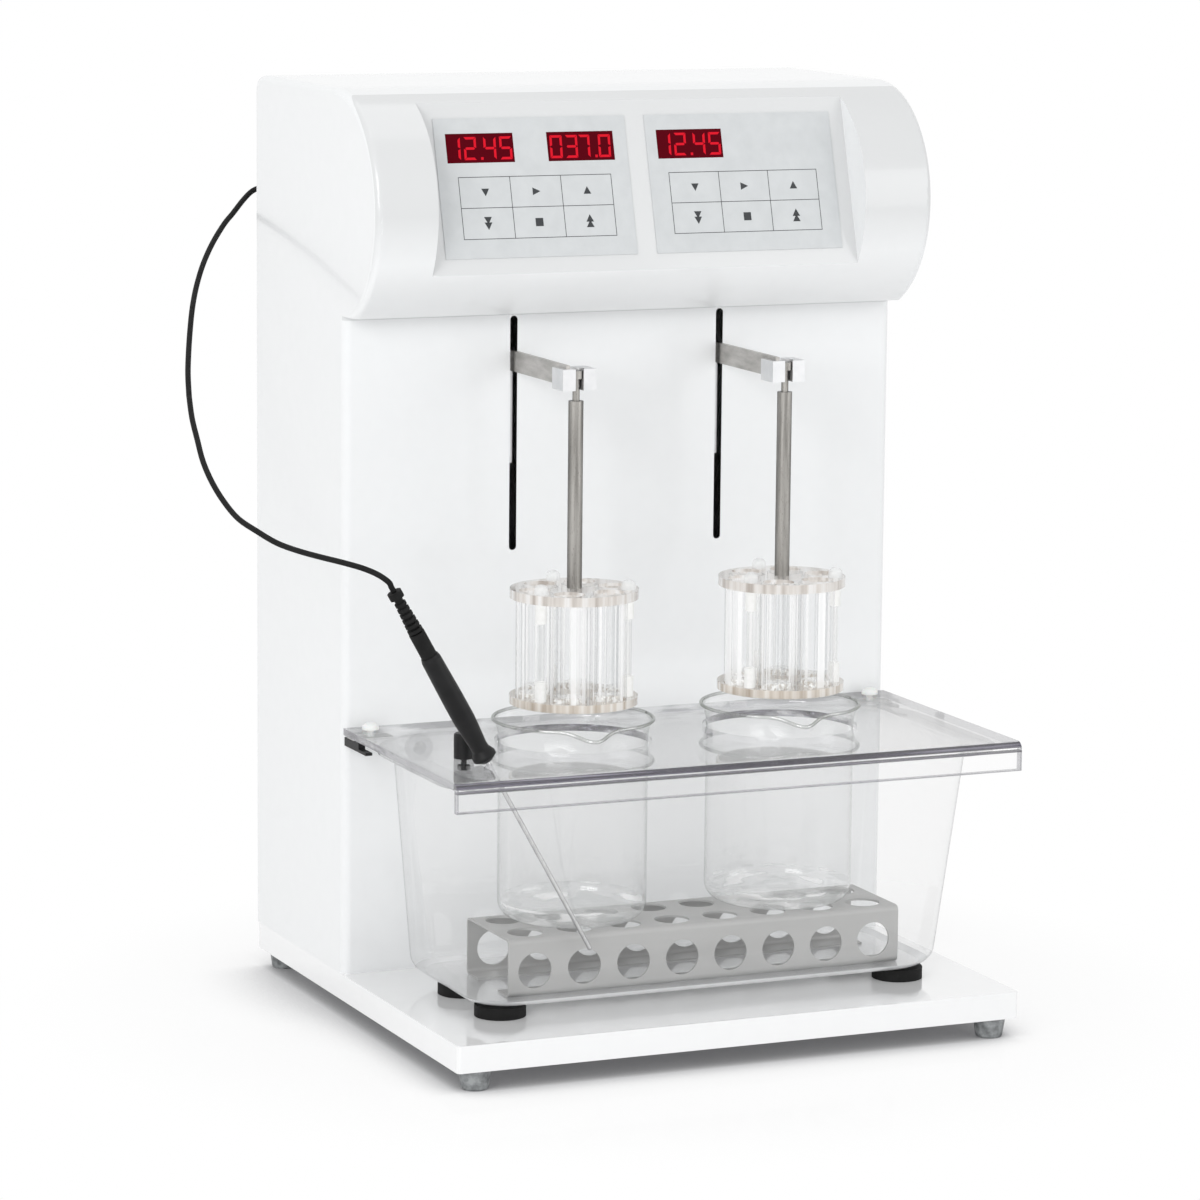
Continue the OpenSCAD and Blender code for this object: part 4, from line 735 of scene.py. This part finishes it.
def flat_shapes(name, shapes, w, height, material, body="base"):
    """Thin raised shapes on the panel: each is a list of (u, v)."""
    verts, faces = [], []
    for shape in shapes:
        n, k = len(shape), len(verts)
        verts += [panel_point(u, v, w) for u, v in shape]
        verts += [panel_point(u, v, w + height) for u, v in shape]
        faces.append(tuple(k + n + i for i in range(n)))
        faces.append(tuple(k + i for i in reversed(range(n))))
        faces += [(k + i, k + (i + 1) % n, k + n + (i + 1) % n, k + n + i) for i in range(n)]
    return link(name, verts, faces, material, body)


def digit(ch, x, y, w, h, t):
    """Slanted seven-segment digit with its lower left corner at x, y."""
    g = 0.25
    m = h / 2
    bars = {
        "a": [(g, h), (w - g, h), (w - t, h - t), (t, h - t)],
        "d": [(g, 0), (t, t), (w - t, t), (w - g, 0)],
        "g": [(t * 0.6, m), (t, m + t / 2), (w - t, m + t / 2), (w - t * 0.6, m),
              (w - t, m - t / 2), (t, m - t / 2)],
        "f": [(0, h - g), (t, h - t - g), (t, m + t / 2 + g), (0, m + g)],
        "e": [(0, g), (0, m - g), (t, m - t / 2 - g), (t, t + g)],
        "b": [(w, h - g), (w, m + g), (w - t, m + t / 2 + g), (w - t, h - t - g)],
        "c": [(w, g), (w - t, t + g), (w - t, m - t / 2 - g), (w, m - g)],
    }
    lean = 0.03
    return [[(x + px + lean * py, y + py) for px, py in bars[s]] for s in SEGMENTS[ch]]


foil_x = [-FOIL_GAP / 2 - FOIL_W, FOIL_GAP / 2]
windows = [foil_x[0] + WINDOW_INSET, foil_x[0] + WINDOW_INSET + WINDOW_STEP, foil_x[1] + WINDOW_INSET]
TEXTS = [[("1", 1.1), ("2", 13.0), (".", 25.4), ("4", 27.8), ("5", 39.8)],
         [("0", 1.8), ("3", 13.5), ("7", 23.6), (".", 35.8), ("0", 38.6)],
         [("1", 1.1), ("2", 13.0), (".", 25.4), ("4", 27.8), ("5", 39.8)]]
shapes = []
for wx, text in zip(windows, TEXTS):
    py = WINDOW_V - 8.3
    for ch, dx in text:
        px = wx + dx
        if ch == ".":
            shapes.append([(px, py), (px + 1.9, py), (px + 1.9, py + 1.9), (px, py + 1.9)])
        else:
            shapes += digit(ch, px, py, 8.6 if ch == "7" else 9.3, 16.3, 1.75)
flat_shapes("display_digits", shapes, FOIL_T - 0.2, 0.1, M["led"])

shapes = []
symbols = []
for fx in foil_x:
    x0, x1 = fx + 14.8, fx + 130.0
    y0, y1, ym = -FOIL_H / 2 + 13.6, -FOIL_H / 2 + 57.3, -FOIL_H / 2 + 35.5
    t = 0.22
    third = (x1 - x0) / 3
    for y in (y0, ym, y1):
        shapes.append([(x0 - t, y - t), (x1 + t, y - t), (x1 + t, y + t), (x0 - t, y + t)])
    for k in range(4):
        x = x0 + k * third
        shapes.append([(x - t, y0), (x + t, y0), (x + t, y1), (x - t, y1)])
    top, low = (ym + y1) / 2, (y0 + ym) / 2
    cx = [x0 + (k + 0.5) * third for k in range(3)]
    a, h = 2.9, 2.7
    symbols.append([(cx[0] - a, top + h), (cx[0], top - h), (cx[0] + a, top + h)])
    symbols.append([(cx[1] - a, top - h), (cx[1] + a, top), (cx[1] - a, top + h)])
    symbols.append([(cx[2] - a, top - h), (cx[2] + a, top - h), (cx[2], top + h)])
    for s in (0, 1):
        y = low + 4.6 - s * 3.9
        symbols.append([(cx[0] - a, y), (cx[0], y - 5.3), (cx[0] + a, y)])
        y = low - 4.6 + s * 3.9
        symbols.append([(cx[2] - a, y), (cx[2] + a, y), (cx[2], y + 5.3)])
    symbols.append([(cx[1] - a, low - a), (cx[1] + a, low - a), (cx[1] + a, low + a), (cx[1] - a, low + a)])
flat_shapes("key_borders", shapes, FOIL_T, 0.05, M["print"])
flat_shapes("key_symbols", symbols, FOIL_T, 0.05, M["print"])

# ------------------------------------------------------------------ floor, light, camera


def stage():
    """The pale floor, whose unlit white has a painted contact shadow from occlusion, the white room and
    three soft lamps.
    """
    s = Shader("pale_floor")
    tc = s.node("ShaderNodeTexCoord")
    dist = s.node("ShaderNodeVectorMath", operation="LENGTH")
    s.join(tc.outputs["Object"], dist.inputs[0])
    near = s.node("ShaderNodeMapRange", interpolation_type="SMOOTHSTEP")
    near.inputs["From Min"].default_value = 0.30
    near.inputs["From Max"].default_value = 0.46
    near.inputs["To Min"].default_value = 0.8
    near.inputs["To Max"].default_value = 1.0
    s.join(dist.outputs["Value"], near.inputs["Value"])
    lit = s.node("ShaderNodeBsdfDiffuse")
    s.join(s.ramp(s.noise(tc.outputs["Object"], 3.0), [(0.3, 0.955), (0.7, 0.965)]), lit.inputs["Color"])
    mirror = s.node("ShaderNodeBsdfGlossy")
    mirror.inputs["Roughness"].default_value = 0.06
    glossy = s.node("ShaderNodeMixShader")
    glossy.inputs[0].default_value = 0.13
    s.join(lit.outputs[0], glossy.inputs[1])
    s.join(mirror.outputs[0], glossy.inputs[2])
    bright = s.node("ShaderNodeEmission")
    # painted contact shadow: the floor's unlit white is darkened by its occlusion under and near the object
    hidden = s.node("ShaderNodeAmbientOcclusion", samples=8)
    hidden.inputs["Distance"].default_value = 0.11
    contact_shadow_stops = [(0.2, (0.13, 0.13, 0.135)), (0.5, (0.55, 0.55, 0.56)), (0.8, (1, 1, 1))]
    s.join(s.ramp(hidden.outputs["AO"], contact_shadow_stops), bright.inputs["Color"])
    path = s.node("ShaderNodeLightPath")
    seen = s.node("ShaderNodeMath", operation="MAXIMUM")
    s.join(path.outputs["Is Camera Ray"], seen.inputs[0])
    s.join(path.outputs["Is Transmission Ray"], seen.inputs[1])
    seen2 = s.node("ShaderNodeMath", operation="MAXIMUM")
    s.join(seen.outputs[0], seen2.inputs[0])
    s.join(path.outputs["Is Glossy Ray"], seen2.inputs[1])
    share = s.node("ShaderNodeMath", operation="MULTIPLY")
    s.join(near.outputs[0], share.inputs[0])
    s.join(seen2.outputs[0], share.inputs[1])
    whole = s.node("ShaderNodeMixShader")
    s.join(share.outputs[0], whole.inputs[0])
    s.join(glossy.outputs[0], whole.inputs[1])
    s.join(bright.outputs[0], whole.inputs[2])
    mat = s.finish(whole)
    n = 6.0
    ob = link("floor", [(-n, -n, 0), (n, -n, 0), (n, n, 0), (-n, n, 0)], [(0, 1, 2, 3)], mat, None, 1.0)

    world = bpy.data.worlds.new("studio")
    bpy.context.scene.world = world
    world.use_nodes = True
    tree = world.node_tree
    bg = tree.nodes["Background"]
    bg.inputs["Color"].default_value = (1, 1, 1, 1)
    bg.inputs["Strength"].default_value = 0.68
    white = tree.nodes.new("ShaderNodeBackground")
    white.inputs["Color"].default_value = (1, 1, 1, 1)
    white.inputs["Strength"].default_value = 1.0
    path = tree.nodes.new("ShaderNodeLightPath")
    most = tree.nodes.new("ShaderNodeMath")
    most.operation = "MAXIMUM"
    mix = tree.nodes.new("ShaderNodeMixShader")
    tree.links.new(path.outputs["Is Camera Ray"], most.inputs[0])
    tree.links.new(path.outputs["Is Transmission Ray"], most.inputs[1])
    also = tree.nodes.new("ShaderNodeMath")
    also.operation = "MAXIMUM"
    tree.links.new(most.outputs[0], also.inputs[0])
    tree.links.new(path.outputs["Is Glossy Ray"], also.inputs[1])
    tree.links.new(also.outputs[0], mix.inputs[0])
    tree.links.new(bg.outputs[0], mix.inputs[1])
    tree.links.new(white.outputs[0], mix.inputs[2])
    tree.links.new(mix.outputs[0], tree.nodes["World Output"].inputs["Surface"])

    def lamp(name, place, aim, size, power):
        data = bpy.data.lights.new(name, "AREA")
        data.shape = "RECTANGLE"
        data.size, data.size_y = size
        data.energy = power
        lo = bpy.data.objects.new(name, data)
        bpy.context.scene.collection.objects.link(lo)
        lo.location = place
        lo.rotation_euler = (Vector(aim) - Vector(place)).to_track_quat("-Z", "Y").to_euler()

    lamp("key", (-2.4, -1.9, 1.5), (0, 0, 0.3), (1.6, 1.6), 36)
    lamp("fill", (1.9, -2.0, 1.0), (0, 0, 0.3), (1.6, 1.6), 13)
    lamp("top", (0.0, 0.2, 2.6), (0, 0, 0.3), (1.8, 1.8), 8)


stage()

yaw, pitch, roll = (math.radians(a) for a in (-23.581, -9.311, 0.549))
forward = Vector((-math.sin(yaw) * math.cos(pitch), math.cos(yaw) * math.cos(pitch), math.sin(pitch)))
right0 = Vector((math.cos(yaw), math.sin(yaw), 0))
up0 = right0.cross(forward)
right = right0 * math.cos(roll) + up0 * math.sin(roll)
up = up0 * math.cos(roll) - right0 * math.sin(roll)
cam = bpy.data.cameras.new("camera")
cam.sensor_width = 36.0
cam.lens = 36.0 * 4946.77 / 1200
cam.clip_end = 50
eye = bpy.data.objects.new("camera", cam)
bpy.context.scene.collection.objects.link(eye)
eye.matrix_world = Matrix.Translation(Vector((-1.41965, -3.1952, 0.8672))) @ Matrix(
    (right, up, -forward)).transposed().to_4x4()
bpy.context.scene.camera = eye
bpy.context.scene.view_settings.view_transform = "Standard"
